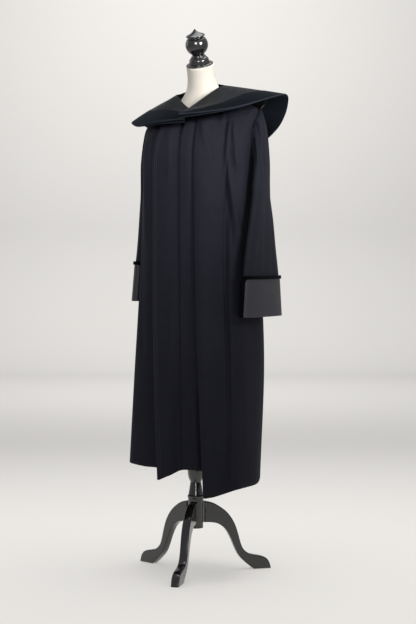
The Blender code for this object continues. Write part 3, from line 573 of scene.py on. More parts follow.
SHOULDER_SEAMS = (
    # neck end, tip end, shift of the front edge: for the front, then for the back
    ("left_trough", "left_tip_front", -RIDGE_GAP / 2),
    ("left_neck_back", "left_tip_back", RIDGE_GAP / 2),
    ("right_neck_front", "right_tip_front", -RIDGE_GAP / 2),
    ("right_neck_back", "right_tip_back", RIDGE_GAP / 2),
)
CHEST_HANDLE, TOP_HANDLE = 0.55, (0.35, 0.55, 0.22)     # the curve from chest to seam
LEVEL_REACH = 1 / 3         # lines beyond a shoulder seam within which the curve comes in level
NO_LINES = 1.0              # metres that a map is moved on, to draw no line on this piece
COLUMNS_PER_LINE = 12
SKIRT_FINE_ROWS = 72
YOKE_FINE_ROWS = 36

# Soft creases: troughs (minus) and ridges (plus) along a curve over one piece. A crease's left
# side can be steeper or softer than its right one, seen from the front.
BODY_CREASES = (
    # piece, curve (x, z) with z falling, half width to the left and right, height at top and foot
    ("front_left", ((12.2, 128.0), (12.6, 120.0), (12.0, 109.0), (11.6, 97.0), (11.8, 81.0),
                    (12.8, 60.0), (13.5, 47.0), (13.4, 36.0), (13.5, 26.0)), 1.9, 0.55, -0.55, -0.75),
    ("front_left", ((11.6, 134.0), (11.9, 128.0), (11.6, 121.0), (10.8, 109.0)), 0.7, 0.7, 0.5, 0.3),
    ("front_left", ((12.8, 132.0), (13.0, 124.0), (14.0, 117.0), (14.8, 111.0), (15.6, 104.0),
                    (16.3, 95.0)), 0.9, 0.5, -0.7, -0.7),
    ("front_left", ((12.6, 116.0), (13.7, 108.0), (14.5, 101.0), (15.0, 92.0)), 0.7, 0.7, 0.45, 0.3),
    ("front_left", ((14.0, 132.0), (15.2, 124.0), (16.4, 117.0)), 0.5, 0.7, -0.5, -0.4),
    ("front_left", ((5.8, 132.0), (7.0, 127.0), (9.0, 122.0), (9.8, 114.0)), 0.9, 0.6, -0.5, -0.3),
    ("front_left", ((7.6, 132.0), (9.0, 126.0), (10.2, 120.0)), 0.7, 0.7, 0.25, 0.15),
    ("front_left", ((9.0, 70.0), (9.6, 54.0), (10.2, 38.0)), 1.4, 1.4, 0.10, 0.35),
    ("front_left", ((15.6, 66.0), (16.4, 48.0), (16.8, 30.0)), 1.2, 1.6, 0.25, 0.35),
    ("front_left", ((16.2, 44.0), (15.2, 34.0), (14.9, 28.0)), 0.9, 0.9, -0.2, -0.35),
    ("front_left", ((4.4, 56.0), (4.8, 42.0), (5.2, 26.0)), 0.6, 0.6, -0.3, -0.6),
    ("front_right", ((-13.2, 128.0), (-12.6, 112.0), (-12.0, 96.0)), 1.0, 1.0, -0.35, -0.3),
    ("front_right", ((-14.6, 120.0), (-13.8, 90.0), (-13.4, 60.0)), 1.1, 1.1, 0.25, 0.2),
    ("front_right", ((-2.0, 92.0), (-2.4, 62.0), (-3.1, 42.0), (-3.7, 24.0)), 1.1, 1.8, -0.25, -0.8),
    ("front_right", ((-5.6, 60.0), (-6.0, 44.0), (-6.0, 26.0)), 0.7, 0.9, 0.15, 0.30),
    ("front_right", ((-4.0, 131.0), (-3.4, 122.0), (-3.2, 112.0)), 0.8, 0.8, -0.25, -0.15),
    ("front_right", ((-9.8, 60.0), (-9.4, 34.0)), 1.0, 1.0, 0.14, 0.2),
    ("back", ((-15.0, 126.0), (-13.8, 108.0), (-12.6, 92.0)), 1.3, 1.3, -0.4, -0.25),
    ("back", ((14.6, 124.0), (13.8, 106.0), (12.8, 88.0)), 1.3, 1.3, -0.4, -0.25),
    ("back", ((-1.2, 118.0), (0.4, 94.0), (1.0, 70.0)), 0.9, 0.9, 0.2, 0.2),
    ("back", ((9.4, 70.0), (10.2, 50.0), (10.6, 30.0)), 1.0, 1.0, 0.2, 0.35),
    ("back", ((-8.6, 84.0), (-8.0, 58.0), (-8.2, 30.0)), 0.8, 0.8, -0.2, -0.4),
    ("back", ((4.4, 122.0), (5.4, 104.0), (5.8, 84.0)), 0.8, 0.8, -0.3, -0.2),
)


def fine_body():
    """The whole body as a grid, rows up and columns round: u counts the lines of the table.

    A column follows a Catmull-Rom curve through hem, knee, hip and chest, then a cubic to its
    top. The tops between two lines of a shoulder seam lie on the seam's straight line.
    """
    u = spans(BODY_LINES, COLUMNS_PER_LINE)
    table = spline([line[1:] for line in BODY_LINES], u)
    hem, knee, hip, chest, top = np.split(table, (3, 5, 7, 9), axis=1)
    level_share = np.zeros(len(u))
    for neck_name, tip_name, shift in SHOULDER_SEAMS:
        ends = [LINE_NAMES.index(name) for name in (neck_name, tip_name)]
        inside = (u >= min(ends)) & (u <= max(ends))
        neck, tip = (np.array(BODY_LINES[end][-3:]) + (0, shift, 0) for end in ends)
        share = np.clip((top[inside, 0] - neck[0]) / (tip[0] - neck[0]), 0, 1)[:, None]
        top[inside] = neck + (tip - neck) * share
        away = np.maximum(min(ends) - u, u - max(ends)).clip(0)
        level_share = np.maximum(level_share, np.clip(1 - away / LEVEL_REACH, 0, 1))
    level = np.ones(len(u))
    knee = np.column_stack([knee, KNEE_HEIGHT * level])
    hip = np.column_stack([hip, HIP_HEIGHT * level])
    chest = np.column_stack([chest, np.minimum(CHEST_HEIGHT, top[:, 2] - CHEST_DROP)])
    skirt = spline(np.stack([hem, knee, hip, chest]).reshape(4, -1),
                   np.linspace(0, 3, SKIRT_FINE_ROWS + 1)[:-1]).reshape(SKIRT_FINE_ROWS, -1, 3)
    rise = top - chest
    lower = chest + rise * (0, 0, CHEST_HANDLE)
    upper = top - rise * np.column_stack([TOP_HANDLE[0] * level, TOP_HANDLE[1] * level,
                                          TOP_HANDLE[2] * (1 - level_share)])
    t = np.linspace(0, 1, YOKE_FINE_ROWS + 1)[:, None, None]
    return np.concatenate([skirt, bezier(chest, lower, upper, top, t)])


CREASE_WANDER, CREASE_WAVE, CREASE_STEP = 0.12, 9.0, 1.7    # sideways, in cm, and its waves
CREASE_SWELL, CREASE_SWELL_WAVE = 0.15, 14.0                # in depth, as a share of it
CREASE_FADE, CREASE_END = 7, 0.15                           # towards both ends
CREASE_POINTS = 12


def crease(points, normals, rows):
    """Moves points along their normals: each crease is a bell across a smooth curve in the X-Z
    plane, as wide on each side as its row says, faded at its ends, uneven by a slow wave."""
    x, z = points[..., 0], points[..., 2]
    shift = np.zeros_like(x)
    for number, (curve, left, right, top_height, foot_height) in enumerate(rows):
        fine = spline(curve, np.linspace(0, len(curve) - 1, CREASE_POINTS * len(curve)))
        down = (fine[0, 1] - z) / (fine[0, 1] - fine[-1, 1])
        middle = np.interp(z, fine[::-1, 1], fine[::-1, 0])
        across = x - middle + CREASE_WANDER * np.sin(down * CREASE_WAVE + number * CREASE_STEP)
        bell = np.exp(-(across / np.where(across < 0, left, right)) ** 2)
        fade = smooth_step(np.minimum(down, 1 - down) * CREASE_FADE + CREASE_END)
        height = top_height + (foot_height - top_height) * np.clip(down, 0, 1)
        height *= 1 + CREASE_SWELL * np.sin(down * CREASE_SWELL_WAVE + number)
        shift += height * bell * fade
    return points + normals * shift[..., None]


def trimmed(points, start_gap, end_gap):
    """The grid with half a seam's gap taken off its first and last columns."""
    points = points.copy()
    for edge, inner, gap in ((0, 1, start_gap), (-1, -2, end_gap)):
        if gap:
            step = points[:, inner] - points[:, edge]
            points[:, edge] += step / np.linalg.norm(step, axis=1, keepdims=True) * gap
    return points


def make_body(plain_wool, front_wool):
    whole = fine_body()
    for node, first, last, flat, area in BODY_PIECES:
        start, end = (LINE_NAMES.index(name) * COLUMNS_PER_LINE for name in (first, last))
        points = trimmed(whole[:, start:end + 1],
                         0.0 if first == "underlap_end" else SIDE_GAP / 2,
                         0.0 if last == "lap_edge" else SIDE_GAP / 2)
        normals = normals_of(points, False)
        rows = [row[1:] for row in BODY_CREASES if row[0] == node]
        points = crease(points, normals, rows)
        upward = lengths_along(points, 0)
        across = lengths_along(points, 1)
        from_edge = across if node != "front_left" else across[:, -1:] - across
        maps = {"edge": (from_edge, upward)}
        if node == "front_right":
            pleat = LINE_NAMES.index("right_pleat_edge") * COLUMNS_PER_LINE
            maps["pleat"] = (across[:, pleat:pleat + 1] - across, upward)
        elif node == "front_left":
            pleat = LINE_NAMES.index("left_pleat_edge") * COLUMNS_PER_LINE - start
            maps["pleat"] = (across[:, pleat:pleat + 1] - across - NO_LINES, upward)
        material = plain_wool if node == "back" else front_wool
        piece = grid_piece("robe_" + node, points, material, wall=CLOTH, maps=maps)
        stands_for(piece, node)


# --- Sleeves and cuffs ---
SLEEVE_SECTIONS = {
    "left": (
        # height, x, y, half length, half thickness, turn
        (110.0, 19.6, 2.2, 8.7, 1.8, -8.0),
        (103.0, 20.0, 1.3, 9.5, 1.8, -2.5),
        (95.0, 20.1, 0.6, 10.3, 1.8, 2.0),
        (86.5, 20.4, -0.2, 11.0, 1.9, 5.5),
        (75.3, 20.7, -1.2, 11.3, 2.2, 8.0),
    ),
    "right": (
        (110.0, 18.9, 7.8, 8.4, 1.5, 15.0),
        (103.0, 19.2, 7.6, 9.2, 1.5, 16.0),
        (95.0, 19.6, 7.5, 10.2, 1.5, 15.5),
        (87.5, 20.1, 7.4, 10.9, 1.7, 15.0),
        (79.4, 20.6, 7.2, 11.1, 1.8, 15.0),
    ),
}
ARMHOLE_LINES = {
    "left": ("left_tip_back", "left_tip_front"),
    "right": ("right_tip_front", "right_tip_back"),
}
SLEEVE_CLEAR, SLEEVE_CLEAR_EASE = 0.6, 0.25
HEAD_OUT, HEAD_RISE, HEAD_SAG, HEAD_HANDLE = (0.3, 1.6), 0.4, 1.2, 0.5    # as in the solids
SLEEVE_ROUNDNESS = 0.8
UNDERARM_HEIGHT, SHOULDER_HEIGHT = 114.0, 136.0
SLEEVE_FINE_COLUMNS = 150
ROUND_PLACES = (np.arange(SLEEVE_FINE_COLUMNS) + 0.5) / SLEEVE_FINE_COLUMNS
SLEEVE_FINE_HEAD_ROWS = 44
SLEEVE_FINE_ROWS_PER_SPAN = 16
SLEEVE_FOLDS = (
    # place round the sleeve (0 outside, 0.25 front), half width, depth, top and bottom height, drift
    (0.085, 0.016, -0.34, 135.0, 112.0, 0.020),
    (0.120, 0.014, 0.22, 135.0, 110.0, 0.020),
    (0.055, 0.014, 0.18, 135.0, 116.0, 0.015),
    (0.175, 0.018, -0.18, 132.0, 106.0, 0.030),
    (0.930, 0.018, -0.26, 135.0, 112.0, -0.020),
    (0.890, 0.016, 0.18, 134.0, 110.0, -0.020),
    (0.020, 0.030, 0.14, 112.0, 78.0, 0.010),
    (0.120, 0.028, -0.14, 108.0, 80.0, 0.030),
    (0.900, 0.030, -0.16, 106.0, 80.0, -0.020),
    (0.400, 0.030, -0.12, 104.0, 82.0, 0.010),
    (0.620, 0.030, -0.12, 104.0, 82.0, -0.010),
)
FOLD_WANDER, FOLD_WAVE, FOLD_STEP = 0.006, 6, 40    # sideways, in shares of the way round
FOLD_FADE_IN, FOLD_START, FOLD_FADE_OUT = 3, 0.5, 2.5
CUFF_DEPTH, CUFF_EASE = 11.8, 0.42
EDGING_TOP, EDGING_FRONT, EDGING_CORNER = 1.0, 1.4, 1.1
EDGING_PLACE = {"left": 0.25, "right": 0.30}    # of the velvet down the front, round the cuff
ROUND_PER_CM = 0.030        # share of the way round the cuff for a centimetre at its front
CUFF_RIM, COLLAR_RIM = 0.13, 0.14   # how round the velvet's edges are
CUFF_FINE_ROWS, EDGING_ROWS = 40, 8
BAND_ROWS, BAND_COLUMNS = 60, 25


def tube(side, values, around, ease=0.0):
    """Points of a flattened tube at places round it (0 to 1, from outside by the front).

    values: rows of SLEEVE_SECTIONS. The length goes by the sine, the thickness by a power of
    the cosine.
    """
    sign = 1 if side == "left" else -1
    angle, turn = np.radians(values[..., 5]), 2 * np.pi * around
    along = np.sin(turn) * (values[..., 3] + ease)
    across = (np.copysign(np.abs(np.cos(turn)) ** SLEEVE_ROUNDNESS, np.cos(turn))
              * (values[..., 4] + ease))
    x = sign * (values[..., 1] - np.sin(angle) * along + np.cos(angle) * across)
    y = values[..., 2] - np.cos(angle) * along - np.sin(angle) * across
    return np.stack([x, y, values[..., 0] + 0 * turn], -1)


def armhole_edge(side):
    """The armhole's edge, from the shoulder down its front and up its back, evenly stepped."""
    first, last = (LINE_NAMES.index(name) for name in ARMHOLE_LINES[side])
    whole = fine_body()[-1, first * COLUMNS_PER_LINE:last * COLUMNS_PER_LINE + 1]
    edge = whole[::-1] if side == "left" else whole
    length = lengths_along(edge[None], 1)[0]
    target = length[-1] * ROUND_PLACES
    return np.stack([np.interp(target, length, edge[:, k]) for k in range(3)], -1)


def sleeve_grid(side):
    """A cubic from the armhole over the head to the first section, then section to section."""
    sign = 1 if side == "left" else -1
    table = SLEEVE_SECTIONS[side]
    rows = spline(table, spans(table, SLEEVE_FINE_ROWS_PER_SPAN))
    sections = tube(side, rows[:, None], ROUND_PLACES[None])
    edge = armhole_edge(side)
    below = sections[0]
    high = (edge[:, 2] - UNDERARM_HEIGHT) / (SHOULDER_HEIGHT - UNDERARM_HEIGHT)
    zero = np.zeros_like(high)
    start = edge + np.stack([sign * (SLEEVE_CLEAR - SLEEVE_CLEAR_EASE * high), zero, zero], -1)
    out = start + np.stack([sign * (HEAD_OUT[0] + HEAD_OUT[1] * high), zero,
                            HEAD_RISE * high - HEAD_SAG * (1 - high) ** 2], -1)
    over = below + np.stack([zero, zero, HEAD_HANDLE * (start[:, 2] - below[:, 2])], -1)
    tucked = edge + (sign * (CLOTH + SEAM_GAP), 0, 0)
    t = np.linspace(0, 1, SLEEVE_FINE_HEAD_ROWS + 1)[:-1, None, None]
    return np.concatenate([tucked[None], bezier(start, out, over, below, t), sections])


def fold_sleeve(points, normals):
    """Folds that run down a sleeve: a bell round the sleeve that drifts as it goes down."""
    z = points[..., 2]
    shift = np.zeros_like(z)
    for place, half_width, depth, top, bottom, drift in SLEEVE_FOLDS:
        down = (top - z) / (top - bottom)
        wander = FOLD_WANDER * np.sin(down * FOLD_WAVE + place * FOLD_STEP)
        centre = place + drift * down + wander
        away = (ROUND_PLACES[None] - centre + 0.5) % 1.0 - 0.5
        fade = smooth_step(np.minimum(down * FOLD_FADE_IN + FOLD_START,
                                      (1 - down) * FOLD_FADE_OUT))
        shift += depth * np.exp(-(away / half_width) ** 2) * fade
    return points + normals * shift[..., None]


def make_sleeve(side, material):
    turn = -1 if side == "right" else 1
    points = sleeve_grid(side)[::-1, ::turn]
    normals = normals_of(points, True)
    folded = fold_sleeve(points[:, ::turn], normals[:, ::turn])[:, ::turn]
    upward = lengths_along(np.concatenate([folded, folded[:, :1]], 1), 0)
    piece = grid_piece("robe_sleeve_" + side, folded, material, closed=True, wall=CLOTH,
                       maps={"edge": (upward + NO_LINES, upward + NO_LINES)})
    stands_for(piece, "sleeve_" + side)


def cuff_surface(side, up, around):
    """Points of the cuff's surface at heights above its foot and places round it (0 to 1)."""
    bottom, above = np.array(SLEEVE_SECTIONS[side][-1]), np.array(SLEEVE_SECTIONS[side][-2])
    values = bottom + (above - bottom) * (up / (above[0] - bottom[0]))[..., None]
    return tube(side, values, around, CUFF_EASE)


def cuff_grid(side, up, around, out):
    """A grid of the cuff's surface, moved out level by out."""
    step = 1e-3
    here = cuff_surface(side, up, around)
    along = cuff_surface(side, up, around + step) - cuff_surface(side, up, around - step)
    normal = np.stack([along[..., 1], -along[..., 0], np.zeros_like(up)], -1)
    normal /= np.linalg.norm(normal, axis=-1, keepdims=True)
    if side == "left":
        normal = -normal
    return here + normal * out


def make_cuff(side, satin, velvet):
    """The satin cuff, and the velvet band round its top and down its front."""
    turn = -1 if side == "left" else 1
    up, around = np.meshgrid(np.linspace(0, CUFF_DEPTH, CUFF_FINE_ROWS + 1), ROUND_PLACES[::turn],
                             indexing="ij")
    cuff = grid_piece("robe_cuff_" + side, cuff_grid(side, up, around, 0.0), satin, closed=True,
                      wall=SILK)
    out = SILK / 2 + LAY_GAP + VELVET / 2
    top_foot = CUFF_DEPTH - EDGING_TOP
    up, around = np.meshgrid(np.linspace(top_foot, CUFF_DEPTH, EDGING_ROWS + 1),
                             ROUND_PLACES[::turn], indexing="ij")
    top = grid_piece("robe_cuff_edging_" + side, cuff_grid(side, up, around, out), velvet,
                     closed=True, wall=VELVET)
    front_up = np.linspace(0.0, top_foot - SEAM_GAP, BAND_ROWS)
    below_top = np.clip(top_foot - front_up, 0, EDGING_CORNER)
    widening = EDGING_CORNER - np.sqrt(EDGING_CORNER ** 2 - (EDGING_CORNER - below_top) ** 2)
    half = (EDGING_FRONT / 2 + widening) * ROUND_PER_CM
    places = np.linspace(-1, 1, BAND_COLUMNS)[::turn]
    up = np.repeat(front_up[:, None], len(places), 1)
    around = EDGING_PLACE[side] + half[:, None] * places
    strip = grid_piece("robe_cuff_front_band_" + side, cuff_grid(side, up, around, out), velvet,
                       wall=VELVET)
    stands_for(cuff, "cuff_" + side)
    stands_for(top, "cuff_edging_" + side)
    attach(strip, BODY)
    for band in (top, strip):
        rounded_rim(band, CUFF_RIM)


# --- Collar ---
COLLAR_LINES = (
    # name, inner edge, outer edge, rise, width of the velvet
    ("left_end", (0.15, -7.0, 135.2), (0.1, -13.6, 133.2), 0.2, 2.8),
    ("left_front_1", (2.6, -4.3, 137.7), (6.0, -13.0, 133.6), 0.4, 3.2),
    ("left_front_2", (4.9, -1.3, 140.2), (11.8, -11.2, 134.3), 0.5, 3.8),
    ("left_front_3", (6.6, 1.4, 142.1), (17.0, -8.0, 135.5), 0.5, 5.4),
    ("left_side_1", (7.0, 4.2, 142.8), (21.5, -2.4, 137.6), 0.4, 6.3),
    ("left_side_2", (6.6, 6.8, 143.3), (24.1, 4.0, 139.4), 0.2, 6.3),
    ("left_top", (5.6, 8.8, 143.6), (24.4, 10.5, 140.3), 0.1, 6.3),
    ("left_back_1", (4.4, 10.2, 143.9), (23.6, 14.6, 139.0), 0.5, 6.3),
    ("left_back_2", (3.2, 11.2, 144.2), (21.2, 18.7, 135.2), 1.4, 6.3),
    ("left_back_3", (1.8, 11.9, 144.4), (17.3, 21.8, 131.0), 2.6, 6.3),
    ("back_left", (0.8, 12.3, 144.5), (11.0, 23.2, 127.0), 3.4, 6.3),
    ("back_middle", (0.0, 12.4, 144.5), (0.0, 23.6, 125.6), 3.8, 6.3),
    ("back_right", (-0.8, 12.3, 144.4), (-10.5, 22.8, 126.6), 3.4, 6.3),
    ("right_back_3", (-1.8, 11.9, 144.2), (-16.4, 20.6, 128.6), 2.8, 6.3),
    ("right_back_2", (-3.2, 11.2, 143.8), (-20.0, 16.6, 131.0), 1.9, 6.3),
    ("right_back_1", (-4.4, 10.2, 143.2), (-21.8, 12.0, 132.8), 1.3, 6.3),
    ("right_top", (-5.6, 8.8, 142.4), (-22.3, 7.8, 133.4), 0.8, 6.3),
    ("right_side_2", (-6.6, 6.8, 141.6), (-22.0, 3.6, 133.2), 0.6, 6.3),
    ("right_side_1", (-7.0, 4.2, 140.9), (-20.0, -0.8, 132.2), 0.5, 6.3),
    ("right_front_3", (-6.6, 1.4, 140.5), (-16.4, -5.4, 131.2), 0.5, 6.3),
    ("right_front_2", (-4.9, -1.3, 139.5), (-11.8, -9.2, 131.2), 0.5, 6.0),
    ("right_front_1", (-2.6, -4.1, 137.6), (-6.0, -11.9, 131.6), 0.4, 5.0),
    ("right_end", (0.9, -6.0, 135.0), (1.7, -12.8, 132.0), 0.2, 3.6),
)
COLLAR_COLUMNS_PER_LINE = 12
COLLAR_FINE_ROWS = 24
ROLL_PLACE, ROLL_DEPTH = 3.4, 0.55      # the left front sinks to here, in lines from its end
ROLL_SOFTNESS, ROLL_REACH = 0.12, 0.8   # how soon it ends, and how far out it goes
LIP_HEIGHT, LIP_TUCK = 0.85, 0.25       # the velvet turned down at the collar's front edge
LIP_LINES = 4.0                         # how many lines from each end it takes to run out
LIP_LEAST, LIP_STEPS = 0.02, 6          # share of its size that is left all round the collar


def collar_grid(part):
    """The collar's silk, from the neckline to the seam, or its velvet, from there to the edge.

    Each line goes straight from the neckline to the outer edge, raised by a parabola. The left
    front's lines sink again by half a sine wave.
    """
    place = spans(COLLAR_LINES, COLLAR_COLUMNS_PER_LINE)
    inner = spline([line[1] for line in COLLAR_LINES], place)
    outer = spline([line[2] for line in COLLAR_LINES], place)
    rise = spline([(line[3],) for line in COLLAR_LINES], place)
    velvet = spline([(line[4],) for line in COLLAR_LINES], place)[:, 0]
    width = np.linalg.norm(outer - inner, axis=1)
    if part == "silk":
        start, end = 0 * width, 1 - (velvet + SEAM_GAP / 2) / width
    else:
        start, end = 1 - (velvet - SEAM_GAP / 2) / width, 0 * width + 1
    t = start[None] + (end - start)[None] * np.linspace(0, 1, COLLAR_FINE_ROWS + 1)[:, None]
    points = inner[None] + (outer - inner)[None] * t[..., None]
    points[..., 2] += rise[None, :, 0] * 4 * t * (1 - t)
    before_roll = 1 / (1 + np.exp((place - ROLL_PLACE) / ROLL_SOFTNESS)) * np.clip(place, 0, 1)
    points[..., 2] -= (ROLL_DEPTH * before_roll[None]
                       * np.sin(np.pi * np.clip(t / ROLL_REACH, 0, 1)))
    return points


def with_lip(points):
    """The velvet with its edge turned down by a quarter of an ellipse, full size at each end of
    the collar and less and less towards the shoulders."""
    count = points.shape[1]
    line = np.arange(count) / COLLAR_COLUMNS_PER_LINE
    from_end = np.minimum(line, line[-1] - line)
    size = np.clip(1 - from_end / LIP_LINES, LIP_LEAST, 1)
    inward = points[-2] - points[-1]
    inward[:, 2] = 0
    inward /= np.linalg.norm(inward, axis=1, keepdims=True)
    turn = np.linspace(0, np.pi / 2, LIP_STEPS + 1)[1:, None, None]
    down = size[None, :, None] * LIP_HEIGHT * np.sin(turn) * (0, 0, -1)
    tuck = size[None, :, None] * LIP_TUCK * (1 - np.cos(turn)) * inward[None]
    return np.concatenate([points, points[-1:] + down + tuck])


def make_collar(silk, velvet):
    silk_part = grid_piece("robe_collar_silk", collar_grid("silk"), silk, wall=SILK)
    outer = collar_grid("velvet")
    turned = with_lip(outer)
    upward = lengths_along(turned, 0)
    # distance from the fold, where the velvet's painted highlight lies
    from_fold = np.abs(upward - upward[len(outer) - 1])
    velvet_part = grid_piece("robe_collar_velvet", turned, velvet, wall=VELVET,
                             maps={"edge": (from_fold, from_fold)})
    rounded_rim(velvet_part, COLLAR_RIM)
    stands_for(silk_part, "collar_silk")
    stands_for(velvet_part, "collar_velvet")


# --- Dress form and stand ---
FORM_RINGS = (
    # height, half width, half depth, centre y, forward tilt in degrees
    (72.0, 13.4, 9.6, 3.4, 0.0),
    (73.2, 14.6, 10.8, 3.4, 0.0),
    (80.0, 14.8, 11.2, 3.6, 0.0),
    (90.0, 13.8, 9.9, 3.2, 0.0),
    (100.0, 12.0, 8.6, 2.6, 0.0),
    (109.0, 13.4, 9.8, 2.4, 0.0),
    (118.0, 15.2, 10.8, 2.8, 0.0),
    (125.0, 15.6, 9.6, 4.2, 0.0),
    (129.5, 15.6, 7.6, 5.4, 0.0),
    (132.4, 14.4, 5.8, 6.0, 0.0),
    (134.6, 11.8, 5.2, 6.0, 0.0),
    (137.2, 8.4, 5.0, 5.8, 3.0),
    (140.4, 6.0, 4.9, 5.7, 8.0),
    (143.0, 4.7, 4.7, 5.4, 15.0),
    (146.2, 4.1, 4.1, 4.3, 20.0),
    (149.3, 4.0, 4.0, 3.1, 22.5),
)
FORM_SHOULDER_POWER = 2.5
FORM_ROUND, FORM_FULL = 6.0, 12.0       # half widths up to which it is an ellipse, and fullest
FORM_FINE_COLUMNS = 72
FORM_FINE_ROWS_PER_RING = 5
FORM_SEAMS = 4              # seams down the cover: front, back and both sides
NECK_TILT = math.radians(22.5)

NECK_CAP_PROFILE = (
    # radius, height along the neck, 1 where the turning has a corner
    (0.0, 0.55, 0), (3.2, 0.55, 0), (3.8, 0.47, 0), (4.02, 0.28, 0), (4.0, 0.0, 1), (0.0, 0.0, 1),
)
FINIAL_PROFILE = (
    (0.0, 11.3, 0), (0.22, 11.12, 0), (0.5, 10.75, 0), (1.0, 10.3, 0), (1.5, 9.97, 0), (2.1, 9.68, 0),
    (2.55, 9.5, 1), (2.74, 9.36, 0), (2.78, 9.15, 0), (2.66, 9.0, 0), (2.3, 8.9, 1), (2.3, 8.66, 0),
    (2.75, 8.3, 0), (3.2, 7.45, 0), (3.36, 6.5, 0), (3.2, 5.5, 0), (2.7, 4.55, 0), (2.0, 3.8, 0),
    (1.72, 3.45, 0), (1.8, 3.2, 1), (2.1, 3.16, 0), (2.2, 3.02, 0), (2.15, 2.88, 1), (2.5, 2.6, 0),
    (2.85, 2.15, 0), (2.98, 1.5, 0), (3.05, 1.0, 1), (0.0, 1.0, 1),
)
FINIAL_GAP = 0.42
POLE_PROFILE = (
    (0.0, 71.9, 0), (1.5, 71.9, 1), (1.5, 45.0, 1), (1.8, 44.6, 0), (1.92, 43.7, 0), (1.8, 42.8, 0),
    (1.5, 42.4, 1), (1.52, 40.0, 0), (1.65, 38.0, 0), (2.1, 34.5, 0), (2.5, 31.6, 0), (2.45, 29.6, 0),
    (2.2, 27.8, 0), (1.75, 26.7, 0), (1.58, 26.35, 1), (1.62, 26.2, 0), (1.75, 25.4, 0),
    (2.02, 23.6, 0), (2.2, 22.65, 1), (0.0, 22.65, 1),
)
HUB_PROFILE = (
    (0.0, 22.6, 0), (2.2, 22.6, 1), (2.42, 22.42, 0), (2.46, 22.1, 0), (2.4, 21.8, 0), (2.25, 21.6, 1),
    (2.3, 21.3, 0), (2.3, 14.4, 1), (2.2, 14.2, 0), (2.2, 13.1, 1), (2.0, 12.9, 0), (0.0, 12.9, 1),
)
TURNED_COLUMNS = 64
PROFILE_STEPS = 6

LEG_TOP_EDGE = (
    (2.45, 20.8), (5.3, 20.0), (8.2, 18.2), (10.1, 16.3), (11.6, 13.9), (12.6, 11.2), (13.4, 8.3),
    (14.3, 6.2), (15.9, 4.8), (17.9, 4.2), (19.8, 3.8), (21.4, 3.1), (22.4, 1.8), (22.9, 0.0),
)
LEG_UNDER_EDGE = (
    (17.6, 0.0), (15.3, 1.8), (13.1, 4.0), (11.8, 6.4), (10.6, 9.2), (9.3, 11.6), (8.0, 13.0),
    (6.3, 14.0), (4.4, 14.4), (2.45, 14.5),
)
LEG_NODES = ("leg_front", "leg_left", "leg_right")
FRONT_LEG_AZIMUTH = math.radians(7.0)
LEG_THICKNESS = 2.4
LEG_EDGE = 0.32             # how much is taken off the legs' edges
LEG_STEPS = 4
NO_RADIUS = 1e-4            # of a ring that closes a form at its axis
TURNED_CORNER, LEG_CORNER = math.radians(35), math.radians(40)   # sharper ones are shaded so


def make_form(material):
    """The form's cover: fuller than an ellipse at the shoulders, tilted forward at the neck."""
    rings = spline(FORM_RINGS, spans(FORM_RINGS, FORM_FINE_ROWS_PER_RING))
    height, half_width, half_depth, centre, tilt = (rings[:, k:k + 1] for k in range(5))
    around = 2 * np.pi * np.arange(FORM_FINE_COLUMNS)[None] / FORM_FINE_COLUMNS
    fullness = np.clip((half_width - FORM_ROUND) / (FORM_FULL - FORM_ROUND), 0, 1)
    power = 2 + (FORM_SHOULDER_POWER - 2) * fullness
    x = np.sign(np.cos(around)) * np.abs(np.cos(around)) ** (2 / power) * half_width
    y = np.sign(np.sin(around)) * np.abs(np.sin(around)) ** (2 / power) * half_depth
    lean = np.radians(tilt)
    points = np.stack([x, y * np.cos(lean) + centre, height + y * np.sin(lean)], -1)
    lowest, highest = points[:1].mean(1, keepdims=True), points[-1:].mean(1, keepdims=True)
    under = [lowest + (points[:1] - lowest) * s for s in (NO_RADIUS, 0.5)]
    over = [highest + (points[-1:] - highest) * s for s in (0.5, NO_RADIUS)]
    points = np.concatenate(under + [points] + over)
    columns = np.arange(FORM_FINE_COLUMNS + 1) / FORM_FINE_COLUMNS * FORM_SEAMS
    from_seam = np.abs(columns - np.round(columns)) / FORM_SEAMS
    ring_length = np.linalg.norm(np.roll(points, -1, 1) - points, axis=2).sum(1) * CM
    edge = ring_length[:, None] * from_seam[None]
    piece = grid_piece("form_cover", points, material, closed=True,
                       maps={"edge": (edge, edge)})
    stands_for(piece, "dress_form")


def smooth_profile(profile):
    """Catmull-Rom runs between the corners of a turner's profile."""
    corners = [0] + [k for k, row in enumerate(profile) if row[2] and k] + [len(profile) - 1]
    runs = []
    for first, last in zip(corners, corners[1:]):
        run = np.array([row[:2] for row in profile[first:last + 1]], float)
        fine = spline(run, spans(run, PROFILE_STEPS)) if len(run) > 2 else run
        runs.append(fine if not runs else fine[1:])
    return np.concatenate(runs)


def make_turned(name, profile, material, place=Vector(), tilt=0.0):
    """A turned piece: its profile carried round its axis, then tilted and put in place."""
    outline = smooth_profile(profile)[::-1]
    outline[:, 0] = np.maximum(outline[:, 0], NO_RADIUS)
    around = 2 * np.pi * np.arange(TURNED_COLUMNS) / TURNED_COLUMNS
    x = outline[:, :1] * np.cos(around)
    y = outline[:, :1] * np.sin(around)
    z = np.repeat(outline[:, 1:], TURNED_COLUMNS, 1)
    points = np.stack([x, y * math.cos(tilt) - z * math.sin(tilt),
                       y * math.sin(tilt) + z * math.cos(tilt)], -1) + np.array(place)
    piece = grid_piece("stand_" + name, points, material, closed=True)
    piece.data.set_sharp_from_angle(angle=TURNED_CORNER)
    stands_for(piece, name)


